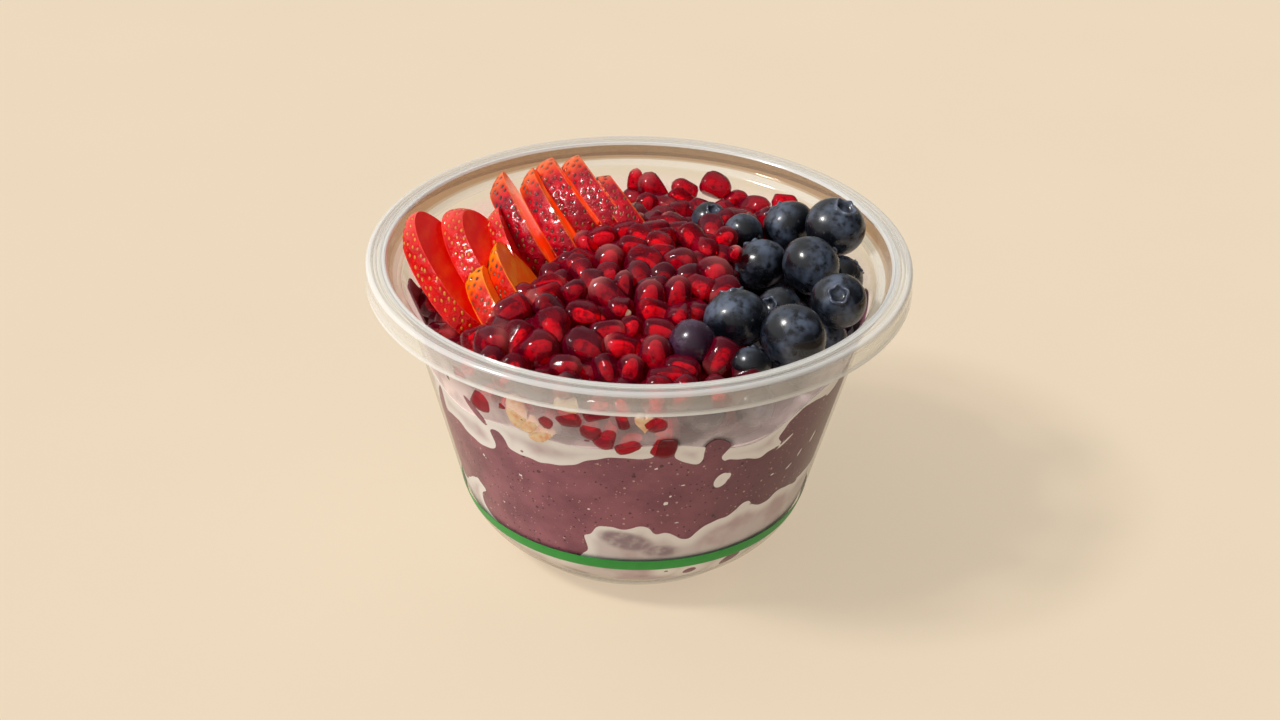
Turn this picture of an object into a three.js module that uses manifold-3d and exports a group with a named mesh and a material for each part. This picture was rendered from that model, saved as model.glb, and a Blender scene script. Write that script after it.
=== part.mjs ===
// An acai bowl: a clear round deli bowl with a rolled rim, filled with acai blend between two
// layers of yoghurt, and topped with sliced strawberries, pomegranate seeds and blueberries.
// Millimetres, +Z up. The origin is the centre of the foot ring, on the surface it stands on,
// and -Y is the side that the fruit is arranged to face.
import * as THREE from 'three';
import { mergeVertices } from 'three/addons/utils/BufferGeometryUtils.js';
import Module from 'manifold-3d';

const wasm = await Module();
wasm.setup();

// Driving dimensions of the bowl
const RIM_DIAMETER = 150;
const HEIGHT = 87;
const SHEET = 0.8;
const SKIRT_DROP = 6.4;
const LAND_WIDTH = 5;
const WALL_TOP = { radius: 65.5, z: 81 };
const CORNER_TOP = { radius: 49.8, z: 18.6 };
const CORNER_RADIUS = 24.6;
const FOOT_RADIUS = 36;
const FOOT_WIDTH = 2.6;
const BASE_RISE = 1.6;
const ROUND_SEGMENTS = 48;
const GAP = 0.3;

// The surfaces between the layers: the height at the middle, and the heights at the wall, one
// for each 30 degrees from -Y towards +X
const LOWER_SURFACE = { middle: 16, wall: [23, 20, 24, 25, 22, 20, 22, 26, 25, 22, 25, 9] };
const UPPER_SURFACE = { middle: 50, wall: [57, 52, 63, 62, 58, 56, 57, 60, 60, 56, 50, 54] };
const TOP_SURFACE = { middle: 57, wall: [62, 59, 66, 65, 61, 60, 62, 64, 64, 61, 59, 60] };
const WALL_RISE_STARTS = 0.6;
const SURFACE_SECTORS = 24;
const SURFACE_RINGS = 3;

// Blueberries: plan place, height of the middle, radius, and the way the crown looks. Those
// on the heap rest on its core, and the others on the yoghurt or on each other.
const BLUEBERRIES = [
  { x: 55, y: 20, z: 84, radius: 8.7, crown: [0.3, -0.2, 0.9] },
  { x: 45, y: 24, z: 82, radius: 7.7, crown: [-0.6, 0.4, 0.6] },
  { x: 50.5, y: 1, z: 82, radius: 8.4, crown: [0.7, 0.5, 0.2] },
  { x: 33.5, y: 6, z: 81, radius: 7.8, crown: [-0.4, 0.7, 0.5] },
  { x: 56.5, y: -21, z: 81, radius: 7.6, crown: [-0.1, -0.7, 0.7] },
  { x: 43, y: -38, z: 78, radius: 8.9, crown: [0.5, 0.8, 0.1] },
  { x: 27, y: -28, z: 83, radius: 8.8, crown: [-0.2, 0.5, 0.8] },
  { x: 38, y: -14, z: 80, radius: 6.4, crown: [-0.5, -0.6, 0.6] },
  { x: 14, y: -40, z: 83, radius: 6.3, crown: [0.6, 0.6, -0.4], onHeap: true },
  { x: 30, y: -46, z: 78, radius: 5.4, crown: [0.2, 0.7, 0.6], onHeap: true },
  { x: 32, y: 23, z: 81, radius: 5.8, crown: [0.4, 0.8, 0.3], onHeap: true },
  { x: 20, y: 38, z: 78, radius: 5.4, crown: [0.2, -0.4, 0.9], onHeap: true },
  { x: 58, y: 6, z: 78, radius: 6.2, crown: [0.8, 0.2, 0.5] },
  { x: 26, y: -3, z: 79, radius: 6.2, crown: [-0.7, -0.3, 0.6] },
  { x: 17, y: -53, z: 69, radius: 6.6, crown: [0.1, 0.4, 0.9] },
  { x: 31, y: -46, z: 66, radius: 6.4, crown: [-0.5, 0.4, 0.7] },
  { x: 45, y: -34, z: 66, radius: 6.8, crown: [0.5, 0.7, 0.4] },
  { x: 54, y: -18, z: 67, radius: 6.8, crown: [-0.3, 0.8, 0.5] },
  { x: 56, y: -3, z: 67, radius: 6.6, crown: [-0.8, 0.2, 0.5] },
  { x: 53, y: 14, z: 69, radius: 7.2, crown: [-0.5, -0.5, 0.7] },
  { x: 42, y: 28, z: 68, radius: 6.8, crown: [0.3, -0.7, 0.6] },
  { x: 40, y: -8, z: 66, radius: 6.8, crown: [0.2, 0.2, 0.9] },
  { x: 30, y: -27, z: 67, radius: 7.4, crown: [0.4, -0.3, 0.8] },
  { x: 38, y: 10, z: 67, radius: 6.9, crown: [-0.3, 0.3, 0.9] },
];
const BERRY_SIDES = 8;
const BERRY_RINGS = 5;
const BERRY_FLATNESS = 0.9;
const CROWN_WIDTH = 0.34;
const CROWN_DEPTH = 0.16;
const BERRY_SINK = 0.3;
const BERRY_CLEARANCE = 1.5;
const RELAX_ROUNDS = 300;
const DROP_STEP = 0.1;

// Strawberry slices, each cut to lie clear of those before it. tip and end are the two ends of
// the edge that shows, from the pointed end to the stalk end, and face is the way the cut side
// looks. place is how far the slice lies from the middle of its strawberry, in half slices, and
// length and radius are the strawberry's.
const SLICES = [
  { tip: [-43, 3, 86], end: [-27, -27, 73], face: [0.6, 0.25, 0.75], place: 1, length: 34, radius: 11 },
  { tip: [-47, -3, 83], end: [-34, -28, 72], face: [0.6, 0.25, 0.75], place: 0, length: 34, radius: 11 },
  { tip: [-66.5, 14, 90], end: [-47.5, -25, 73], face: [0.65, -0.1, 0.75], place: 0, length: 43, radius: 12.5 },
  { tip: [-55, 19, 91], end: [-38, -17, 74], face: [0.65, -0.1, 0.75], place: -1, length: 42, radius: 13 },
  { tip: [-44, 41, 90], end: [-30, 11, 78], face: [0.84, 0.18, 0.52], place: 1, length: 38, radius: 13 },
  { tip: [-35.5, 42, 91], end: [-20, 11, 79], face: [0.84, 0.18, 0.52], place: 1, length: 39, radius: 13.5 },
  { tip: [-30.5, 50, 91], end: [-14, 22, 80], face: [0.84, 0.18, 0.52], place: 0, length: 35, radius: 13.5 },
  { tip: [-23, 52, 91], end: [-6, 24, 81], face: [0.84, 0.18, 0.52], place: 0, length: 36, radius: 13.5 },
  { tip: [-14.5, 46, 89], end: [0.5, 22, 80], face: [0.84, 0.18, 0.52], place: -1, length: 30, radius: 13 },
  { tip: [-44, 25, 87], end: [-33, -5, 75], face: [0.8, 0.25, 0.5], place: 1, length: 33, radius: 12 },
];
const SLICE_THICKNESS = 6.4;
const SLICE_SIDES = 16;
const SLICE_RINGS = 6;
const WIDEST_AT = 0.62;
const EDGE_TILT = 0.22;
const EDGE_HEIGHT = 0.3;

// The heap of pomegranate seeds
const SEED_LENGTH = 10;
const SEED_WIDTH = 7.3;
const SEED_SPACING = 8.6;
const SEED_SIDES = 5;
const HEAP_MIDDLE = 87;
const HEAP_FRONT_FALL = 8;
const HEAP_BACK_FALL = 9;
const HEAP_SIDE_FALL = 17;
const HEAP_EDGE = { x: -24, y: -5, slant: 0.49 };
const HEAP_REACH = 60;
const CORE_INSET = 2.5;
const BERRY_SIDE = { x: 60, y: -14, radius: 40, narrow: 0.82 };
const NUT_SIZE = 4.6;
const NUTS = [
  { x: -5, y: -44 },
  { x: 6, y: -30 },
];
const RANDOM_SEED = 20417;

const COLOURS = {
  bowl: { color: 0xe8ece8, roughness: 0.12, transparent: true, opacity: 0.35 },
  yoghurt: { color: 0xe6dcd8, roughness: 0.45 },
  acai: { color: 0x6e3f4c, roughness: 0.55 },
  strawberry: { color: 0xd81f1a, roughness: 0.35 },
  blueberry: { color: 0x2b3550, roughness: 0.5 },
  pomegranate: { color: 0x9c0f24, roughness: 0.2 },
};

// Seeded random numbers from 0 to 1
function randomSource(seed) {
  let state = seed;
  return () => {
    state = (state * 1664525 + 1013904223) % 4294967296;
    return state / 4294967296;
  };
}

// A closed three.js geometry as a solid that can be joined and cut
function solidOf(geometry) {
  const bare = geometry.clone();
  bare.deleteAttribute('normal');
  bare.deleteAttribute('uv');
  const merged = mergeVertices(bare, 1e-4);
  return new wasm.Manifold(new wasm.Mesh({
    numProp: 3,
    vertProperties: new Float32Array(merged.attributes.position.array),
    triVerts: new Uint32Array(merged.index.array),
  }));
}

// A solid as a three.js geometry
function geometryOf(solid) {
  const mesh = solid.getMesh();
  const geometry = new THREE.BufferGeometry();
  const places = new Float32Array(mesh.vertProperties);
  geometry.setAttribute('position', new THREE.BufferAttribute(places, 3));
  geometry.setIndex(new THREE.BufferAttribute(new Uint32Array(mesh.triVerts), 1));
  geometry.computeVertexNormals();
  return geometry;
}

// The largest single body of a solid
function mainBody(solid) {
  return solid.decompose().sort((a, b) => b.volume() - a.volume())[0];
}

function namedMesh(name, geometry, look) {
  const mesh = new THREE.Mesh(geometry, new THREE.MeshStandardMaterial(look));
  mesh.name = name;
  return mesh;
}

// A profile of [radius, z] points turned about +Z
function turned(profile, segments) {
  const points = profile.map(([radius, z]) => new THREE.Vector2(Math.max(radius, 0), z));
  return new THREE.LatheGeometry(points, segments).rotateX(Math.PI / 2);
}

// Points of an arc of a circle in the profile plane, from one angle to another
function arc(centre, radius, from, to, steps) {
  return Array.from({ length: steps + 1 }, (_, i) => {
    const angle = from + (to - from) * i / steps;
    return [centre[0] + radius * Math.cos(angle), centre[1] + radius * Math.sin(angle)];
  });
}

const RIM_RADIUS = RIM_DIAMETER / 2;
const WALL_LEAN = Math.atan2(WALL_TOP.radius - CORNER_TOP.radius, WALL_TOP.z - CORNER_TOP.z);
const CORNER_CENTRE = [
  CORNER_TOP.radius - CORNER_RADIUS * Math.cos(WALL_LEAN),
  CORNER_TOP.z + CORNER_RADIUS * Math.sin(WALL_LEAN),
];
const CORNER_START_ANGLE = -1.05;
const CORNER_STEPS = 4;

// The middle of the sheet, from the middle of the base out to the bottom of the skirt
function sheetPath() {
  const half = SHEET / 2;
  const collarRadius = RIM_RADIUS - LAND_WIDTH - half;
  return [
    [0, BASE_RISE + half],
    [FOOT_RADIUS - FOOT_WIDTH - 2, BASE_RISE + half],
    [FOOT_RADIUS - FOOT_WIDTH, half],
    [FOOT_RADIUS, half],
    ...arc(CORNER_CENTRE, CORNER_RADIUS, CORNER_START_ANGLE, -WALL_LEAN, CORNER_STEPS),
    [WALL_TOP.radius, WALL_TOP.z],
    [collarRadius - 0.8, WALL_TOP.z + 1.4],
    [collarRadius, HEIGHT - half],
    [RIM_RADIUS - half - 0.8, HEIGHT - half],
    [RIM_RADIUS - half, HEIGHT - half - 0.8],
    [RIM_RADIUS - half, HEIGHT - SKIRT_DROP],
  ];
}

// A path moved sideways by a distance, to its left as it runs
function offsetPath(path, distance) {
  return path.map((point, i) => {
    const before = path[Math.max(i - 1, 0)];
    const after = path[Math.min(i + 1, path.length - 1)];
    const into = new THREE.Vector2(point[0] - before[0], point[1] - before[1]);
    const out = new THREE.Vector2(after[0] - point[0], after[1] - point[1]);
    if (into.length() === 0) into.copy(out);
    if (out.length() === 0) out.copy(into);
    into.normalize();
    out.normalize();
    const normal = new THREE.Vector2(-into.y - out.y, into.x + out.x).normalize();
    const stretch = 1 / Math.max(normal.x * -into.y + normal.y * into.x, 0.5);
    return [point[0] + normal.x * distance * stretch, point[1] + normal.y * distance * stretch];
  });
}

function bowlGeometry() {
  const path = sheetPath();
  const outside = offsetPath(path, -SHEET / 2);
  const inside = offsetPath(path, SHEET / 2);
  outside[0][0] = 0;
  inside[0][0] = 0;
  return turned([...outside, ...inside.reverse()], ROUND_SEGMENTS);
}

// The inner radius of the bowl at a height on its straight wall
function innerRadius(z, clearance) {
  const lean = Math.tan(WALL_LEAN);
  return CORNER_TOP.radius + (z - CORNER_TOP.z) * lean - (SHEET / 2 + clearance) / Math.cos(WALL_LEAN);
}

// The outline of what fills the bowl, kept clear of the wall, up to a height
function cavityProfile(clearance, top) {
  const floorZ = BASE_RISE + SHEET + clearance;
  const reach = CORNER_RADIUS - SHEET / 2 - clearance;
  const start = Math.asin((floorZ - CORNER_CENTRE[1]) / reach);
  return [
    [0, floorZ],
    ...arc(CORNER_CENTRE, reach, start, -WALL_LEAN, CORNER_STEPS),
    [innerRadius(top, clearance), top],
    [0, top],
  ];
}

// A value read smoothly round the bowl from one value for each 30 degrees
function roundValue(values, angle) {
  const place = ((angle / (2 * Math.PI)) % 1 + 1) % 1 * values.length;
  const first = Math.floor(place) % values.length;
  const share = place - Math.floor(place);
  const ease = share * share * (3 - 2 * share);
  return values[first] * (1 - ease) + values[(first + 1) % values.length] * ease;
}

// The height of a layer's surface over a plan place
function surfaceHeight(surface, x, y) {
  const angle = Math.atan2(x, -y);
  const share = Math.hypot(x, y) / WALL_TOP.radius;
  const rise = THREE.MathUtils.smoothstep(share, WALL_RISE_STARTS, 1);
  return surface.middle + (roundValue(surface.wall, angle) - surface.middle) * rise;
}

// A round blanket between two height functions, wider than the bowl
function blanket(bottom, top) {
  const places = [];
  const index = [];
  const radii = Array.from(
    { length: SURFACE_RINGS },
    (_, ring) => RIM_RADIUS * ((ring + 1) / SURFACE_RINGS) ** 0.7,
  );
  for (const height of [bottom, top]) {
    places.push(0, 0, height(0, 0));
    for (const radius of radii) {
      for (let sector = 0; sector < SURFACE_SECTORS; sector++) {
        const angle = 2 * Math.PI * sector / SURFACE_SECTORS;
        const x = radius * Math.sin(angle);
        const y = -radius * Math.cos(angle);
        places.push(x, y, height(x, y));
      }
    }
  }
  const face = 1 + SURFACE_RINGS * SURFACE_SECTORS;
  const at = (side, ring, sector) => side * face + 1 + ring * SURFACE_SECTORS + sector % SURFACE_SECTORS;
  const triangle = (side, a, b, c) => index.push(...(side ? [a, b, c] : [a, c, b]));
  for (let sector = 0; sector < SURFACE_SECTORS; sector++) {
    for (const side of [0, 1]) {
      triangle(side, side * face, at(side, 0, sector), at(side, 0, sector + 1));
      for (let ring = 0; ring + 1 < SURFACE_RINGS; ring++) {
        const [a, b] = [at(side, ring, sector), at(side, ring, sector + 1)];
        const [c, d] = [at(side, ring + 1, sector), at(side, ring + 1, sector + 1)];
        triangle(side, a, c, d);
        triangle(side, a, d, b);
      }
    }
    const last = SURFACE_RINGS - 1;
    const [low, lowNext] = [at(0, last, sector), at(0, last, sector + 1)];
    const [high, highNext] = [at(1, last, sector), at(1, last, sector + 1)];
    index.push(low, lowNext, highNext, low, highNext, high);
  }
  const geometry = new THREE.BufferGeometry();
  geometry.setAttribute('position', new THREE.Float32BufferAttribute(places, 3));
  geometry.setIndex(index);
  return solidOf(geometry);
}

// The layers that fill the bowl, each cut from the cavity between two surfaces
function layerMeshes() {
  const cavity = solidOf(turned(cavityProfile(GAP, WALL_TOP.z), ROUND_SEGMENTS));
  const at = (surface, lift) => (x, y) => surfaceHeight(surface, x, y) + lift;
  const lower = cavity.intersect(blanket(() => 0, at(LOWER_SURFACE, 0)));
  const acai = cavity.intersect(blanket(at(LOWER_SURFACE, GAP), at(UPPER_SURFACE, 0)));
  const upper = cavity.intersect(blanket(at(UPPER_SURFACE, GAP), at(TOP_SURFACE, 0)));
  return [
    namedMesh('yoghurt_lower', geometryOf(lower), COLOURS.yoghurt),
    namedMesh('acai_blend', geometryOf(acai), COLOURS.acai),
    namedMesh('yoghurt_upper', geometryOf(upper), COLOURS.yoghurt),
  ];
}

// The height of the heap, which falls towards the wall in front and behind, and under the
// strawberries to the left of a slanting line
function heapHeight(x, y) {
  const front = HEAP_FRONT_FALL * THREE.MathUtils.smoothstep(-y, 25, 60);
  const back = HEAP_BACK_FALL * THREE.MathUtils.smoothstep(y, 5, 55);
  const beyond = (HEAP_EDGE.x - x) * Math.cos(HEAP_EDGE.slant) + (y - HEAP_EDGE.y) * Math.sin(HEAP_EDGE.slant);
  const side = HEAP_SIDE_FALL * THREE.MathUtils.smoothstep(beyond, -4, 12);
  return HEAP_MIDDLE - Math.max(front + back, side);
}

// The height of the core under the heap's seeds
function coreHeight(x, y) {
  return heapHeight(x, y) - SEED_WIDTH * 0.6;
}

// How far from the axis a ball's middle can be at a height, clear of the wall and the ledge
function roomForBall(z, radius) {
  const wallRoom = innerRadius(z, GAP) - radius / Math.cos(WALL_LEAN);
  const ledge = [
    [WALL_TOP.radius - SHEET, WALL_TOP.z],
    [RIM_RADIUS - LAND_WIDTH - 2 * SHEET, WALL_TOP.z + 1.4],
    [RIM_RADIUS - LAND_WIDTH - SHEET, HEIGHT],
  ];
  const rooms = ledge
    .map(([edge, height]) => edge - Math.sqrt(Math.max((radius + GAP) ** 2 - (height - z) ** 2, 0)));
  return z < WALL_TOP.z ? Math.min(wallRoom, ...rooms) : Math.min(...rooms);
}

// Moves the blueberries apart, inside the wall and above the yoghurt, then lets each one down
// until it touches what is under it
function settledBlueberries() {
  const berries = BLUEBERRIES.map((berry) => ({ ...berry }));
  const floorUnder = ({ x, y, radius, onHeap }) => (onHeap
    ? coreHeight(x, y) + radius * BERRY_SINK
    : surfaceHeight(TOP_SURFACE, x, y) + radius + BERRY_CLEARANCE);
  for (let round = 0; round < RELAX_ROUNDS; round++) {
    for (const [i, a] of berries.entries()) {
      for (const b of berries.slice(i + 1)) {
        const apart = new THREE.Vector3(b.x - a.x, b.y - a.y, b.z - a.z);
        const short = a.radius + b.radius + GAP - apart.length();
        if (short <= 0) continue;
        apart.setLength(short / 2);
        a.x -= apart.x;
        a.y -= apart.y;
        a.z -= apart.z;
        b.x += apart.x;
        b.y += apart.y;
        b.z += apart.z;
      }
      const room = roomForBall(a.z, a.radius);
      const out = Math.hypot(a.x, a.y);
      if (out > room) {
        a.x *= room / out;
        a.y *= room / out;
      }
      a.z = Math.max(a.z, floorUnder(a));
    }
  }
  const upwards = [...berries].sort((a, b) => a.z - b.z);
  for (const berry of upwards) {
    const others = berries.filter((other) => other !== berry);
    const free = (z) => z >= floorUnder(berry)
      && Math.hypot(berry.x, berry.y) <= roomForBall(z, berry.radius)
      && others.every((other) => Math.hypot(other.x - berry.x, other.y - berry.y, other.z - z)
        >= berry.radius + other.radius + GAP);
    while (free(berry.z - DROP_STEP)) berry.z -= DROP_STEP;
  }
  return berries;
}

// A blueberry about +Z, slightly flat, with the hollow of its crown on top
function blueberryGeometry(radius) {
  const lip = Math.PI / 2 - Math.asin(CROWN_WIDTH);
  const side = arc([0, 0], radius, -Math.PI / 2, lip, BERRY_RINGS).map(([r, z]) => [r, z * BERRY_FLATNESS]);
  side[0][0] = 0;
  const hollowZ = side.at(-1)[1] - radius * CROWN_DEPTH;
  return turned([...side, [radius * CROWN_WIDTH * 0.6, hollowZ], [0, hollowZ]], BERRY_SIDES);
}

// The turn that brings +Z onto a direction
function turnTo(direction) {
  return new THREE.Quaternion().setFromUnitVectors(
    new THREE.Vector3(0, 0, 1),
    new THREE.Vector3(...direction).normalize(),
  );
}

function blueberryMesh(berry, index) {
  const name = `blueberry_${String(index + 1).padStart(2, '0')}`;
  const mesh = namedMesh(name, blueberryGeometry(berry.radius), COLOURS.blueberry);
  mesh.position.set(berry.x, berry.y, berry.z);
  mesh.quaternion.copy(turnTo(berry.crown));
  return mesh;
}

// The radius of a strawberry at a share of its length from the tip
function strawberryRadius(share, radius) {
  const towardsTip = share < WIDEST_AT;
  const away = towardsTip ? (WIDEST_AT - share) / WIDEST_AT : (share - WIDEST_AT) / (1.08 - WIDEST_AT);
  return radius * (1 - away ** (towardsTip ? 2.1 : 2.6)) ** 0.62;
}

// One slice of a strawberry in its own frame: +Y from tip to stalk end, X across the slice.
// grow makes it larger all round, for cutting room in what lies against it.
function sliceSolid(slice, grow = 0) {
  const profile = [[0, -grow]];
  for (let ring = 0; ring <= SLICE_RINGS; ring++) {
    const share = (ring + 0.3) / (SLICE_RINGS + 0.3);
    profile.push([strawberryRadius(share, slice.radius) + grow, share * slice.length]);
  }
  profile.push([0, slice.length + grow]);
  const points = profile.map(([radius, along]) => new THREE.Vector2(radius, along));
  const body = solidOf(new THREE.LatheGeometry(points, SLICE_SIDES));
  const slab = new THREE.BoxGeometry(SLICE_THICKNESS + 2 * grow, 3 * slice.length, 4 * slice.radius);
  slab.translate(-slice.place * SLICE_THICKNESS / 2, 0, 0);
  return body.intersect(solidOf(slab));
}

// The place and turn of a slice in the bowl
function sliceMatrix(slice) {
  const tip = new THREE.Vector3(...slice.tip);
  const along = new THREE.Vector3(...slice.end).sub(tip).normalize();
  const across = new THREE.Vector3(...slice.face);
  across.addScaledVector(along, -across.dot(along)).normalize();
  const down = new THREE.Vector3().crossVectors(across, along);
  const tilt = new THREE.Matrix4().makeRotationX(EDGE_TILT);
  const middle = slice.place * SLICE_THICKNESS / 2;
  const place = new THREE.Matrix4().makeTranslation(middle, 0, EDGE_HEIGHT * slice.radius);
  return new THREE.Matrix4().makeBasis(across, along, down).setPosition(tip).multiply(place).multiply(tilt);
}

// The slices where they lie, and the room that they take
function laidSlices() {
  const inside = solidOf(turned(cavityProfile(2 * GAP, 2 * HEIGHT), ROUND_SEGMENTS))
    .intersect(blanket((x, y) => surfaceHeight(TOP_SURFACE, x, y) + GAP, () => 2 * HEIGHT));
  const solids = [];
  let taken = new wasm.Manifold(new wasm.Mesh({
    numProp: 3,
    vertProperties: new Float32Array(),
    triVerts: new Uint32Array(),
  }));
  for (const slice of SLICES) {
    const matrix = sliceMatrix(slice).elements;
    solids.push(mainBody(sliceSolid(slice).transform(matrix).intersect(inside).subtract(taken)));
    taken = taken.add(sliceSolid(slice, GAP).transform(matrix));
  }
  return { solids, taken };
}

function sliceMesh(solid, index) {
  const name = `strawberry_slice_${String(index + 1).padStart(2, '0')}`;
  return namedMesh(name, geometryOf(solid), COLOURS.strawberry);
}

// The room that the fruit on top takes, a little larger than the fruit
function fruitRoom(berries, slices) {
  const round = berries.map((berry) => solidOf(
    new THREE.IcosahedronGeometry(berry.radius * 1.06 + GAP, 1).translate(berry.x, berry.y, berry.z),
  ));
  return wasm.Manifold.union([...round, slices]);
}

// A pomegranate seed along +Z, blunt at one end and tapered at the other
function seedGeometry(length, width) {
  const half = length / 2;
  return turned([
    [0, -half],
    [width * 0.4, -half * 0.65],
    [width * 0.5, half * 0.5],
    [0, half],
  ], SEED_SIDES);
}

// The seeds that show on the heap, in staggered rows, each joined to the core and clear of the
// other fruit
function heapSeeds(core, free, random) {
  const seeds = [];
  const reach = Math.ceil(HEAP_REACH / SEED_SPACING) + 1;
  for (let row = -reach; row <= reach; row++) {
    for (let column = -reach; column <= reach; column++) {
      const x = (column + (row % 2) / 2) * SEED_SPACING + (random() - 0.5) * 2.4;
      const y = row * SEED_SPACING * 0.87 + (random() - 0.5) * 2.4;
      const z = coreHeight(x, y) + random() * 2;
      const heading = random() * 2 * Math.PI;
      const pitch = random() * 0.9;
      const size = 0.88 + random() * 0.24;
      if (Math.hypot(x, y) > HEAP_REACH) continue;
      const level = Math.cos(pitch);
      const direction = [Math.cos(heading) * level, Math.sin(heading) * level, Math.sin(pitch)];
      const seed = seedGeometry(SEED_LENGTH * size, SEED_WIDTH * size);
      const solid = solidOf(seed.applyQuaternion(turnTo(direction)).translate(x, y, z));
      const joined = solid.intersect(core).volume() > solid.volume() * 0.15;
      if (joined && solid.subtract(free).isEmpty()) seeds.push(solid);
    }
  }
  return seeds;
}

// The heap: a core under the seeds that show, with the seeds and a few nut pieces joined on
function pomegranateHeap(room, random) {
  const berrySide = new THREE.CylinderGeometry(BERRY_SIDE.radius, BERRY_SIDE.radius, 2 * HEIGHT, 24)
    .rotateX(Math.PI / 2).scale(BERRY_SIDE.narrow, 1, 1).translate(BERRY_SIDE.x, BERRY_SIDE.y, HEIGHT);
  const bottom = (x, y) => surfaceHeight(TOP_SURFACE, x, y) + GAP;
  const core = mainBody(
    solidOf(turned(cavityProfile(CORE_INSET, HEIGHT), ROUND_SEGMENTS / 2))
      .intersect(blanket(bottom, coreHeight))
      .subtract(solidOf(berrySide))
      .subtract(room),
  );
  const free = solidOf(turned(cavityProfile(GAP, 2 * HEIGHT), ROUND_SEGMENTS)).subtract(room);
  const nuts = NUTS.map(({ x, y }) => solidOf(
    new THREE.IcosahedronGeometry(NUT_SIZE / 2, 0).scale(1.2, 0.9, 0.8).translate(x, y, heapHeight(x, y) - 1),
  ));
  return mainBody(wasm.Manifold.union([core, ...nuts, ...heapSeeds(core, free, random)]));
}

const random = randomSource(RANDOM_SEED);
const berries = settledBlueberries();
const slices = laidSlices();
const heap = pomegranateHeap(fruitRoom(berries, slices.taken), random);

const acaiBowl = new THREE.Group();
acaiBowl.add(namedMesh('bowl', bowlGeometry(), COLOURS.bowl));
acaiBowl.add(...layerMeshes());
acaiBowl.add(...berries.map(blueberryMesh));
acaiBowl.add(...slices.solids.map(sliceMesh));
acaiBowl.add(namedMesh('pomegranate_heap', geometryOf(heap), COLOURS.pomegranate));

export default acaiBowl;
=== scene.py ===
"""Dresses the acai bowl: a clear deli bowl of acai blend and yoghurt under fresh fruit."""

import logging
import math
from collections.abc import Callable, Sequence
from dataclasses import dataclass, field
from enum import Enum, IntEnum
from typing import Any

import bmesh
import bpy
import numpy as np
from mathutils import Matrix, Vector
from mathutils.bvhtree import BVHTree


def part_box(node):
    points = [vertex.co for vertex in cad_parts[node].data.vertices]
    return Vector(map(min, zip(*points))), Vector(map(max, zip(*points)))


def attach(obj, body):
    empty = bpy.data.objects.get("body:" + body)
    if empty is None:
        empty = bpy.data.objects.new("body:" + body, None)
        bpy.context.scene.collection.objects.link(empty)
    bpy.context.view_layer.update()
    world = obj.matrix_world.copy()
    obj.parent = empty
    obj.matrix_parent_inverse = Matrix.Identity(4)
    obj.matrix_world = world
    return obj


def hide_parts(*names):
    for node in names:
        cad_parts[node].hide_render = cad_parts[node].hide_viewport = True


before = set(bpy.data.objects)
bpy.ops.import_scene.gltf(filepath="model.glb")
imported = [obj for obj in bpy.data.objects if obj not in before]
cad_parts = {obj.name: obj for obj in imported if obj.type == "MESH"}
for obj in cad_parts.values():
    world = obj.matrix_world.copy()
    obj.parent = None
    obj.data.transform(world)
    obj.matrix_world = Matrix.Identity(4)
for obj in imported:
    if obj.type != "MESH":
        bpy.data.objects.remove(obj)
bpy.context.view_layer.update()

MM = 0.001
BODY = "root"
SHARP_PLASTIC = 50.0

# Angles in radians: about a whole turn, for random angles, and the step of a seed spiral
ROUGH_TURN = 6.28
GOLDEN_ANGLE = math.radians(137.508)
log = logging.getLogger("acai_bowl")

Place = tuple[float, float, float]
Profile = list[tuple[float, float]]
Faces = list[tuple[int, ...]]
Colour = tuple[float, float, float, float]
Socket = bpy.types.NodeSocket

WHITE: Colour = (1, 1, 1, 1)
BLACK: Colour = (0, 0, 0, 1)


def srgb(red: int, green: int, blue: int) -> Colour:
    """Turns a screen colour into the linear colour that a shader takes.

    Args:
        red: Red, 0 to 255.
        green: Green, 0 to 255.
        blue: Blue, 0 to 255.

    Returns:
        The linear colour with full alpha.
    """
    def linear(level: int) -> float:
        """Turns one channel's screen level into its linear share."""
        share = level / 255
        return share / 12.92 if share <= 0.04045 else ((share + 0.055) / 1.055) ** 2.4

    return (linear(red), linear(green), linear(blue), 1.0)


def smoothstep(value: Any, low: float, high: float) -> Any:
    """Eases a number or an array from 0 at low to 1 at high."""
    share = np.clip((value - low) / (high - low), 0, 1)
    return share * share * (3 - 2 * share)


def round_value(values: Sequence[float], angle: Any) -> Any:
    """Reads a value smoothly round the bowl.

    Args:
        values: One value for each equal sector, from -Y towards +X.
        angle: The angle in radians, a number or an array.

    Returns:
        The value at the angle.
    """
    table = np.asarray(values, float)
    place = np.mod(angle / (2 * math.pi), 1) * len(table)
    first = np.floor(place).astype(int) % len(table)
    share = place - np.floor(place)
    ease = share * share * (3 - 2 * share)
    return table[first] * (1 - ease) + table[(first + 1) % len(table)] * ease


def round_steps(count: int) -> np.ndarray:
    """Returns so many equal steps round a turn, in radians."""
    return np.arange(count) * 2 * math.pi / count


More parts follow.
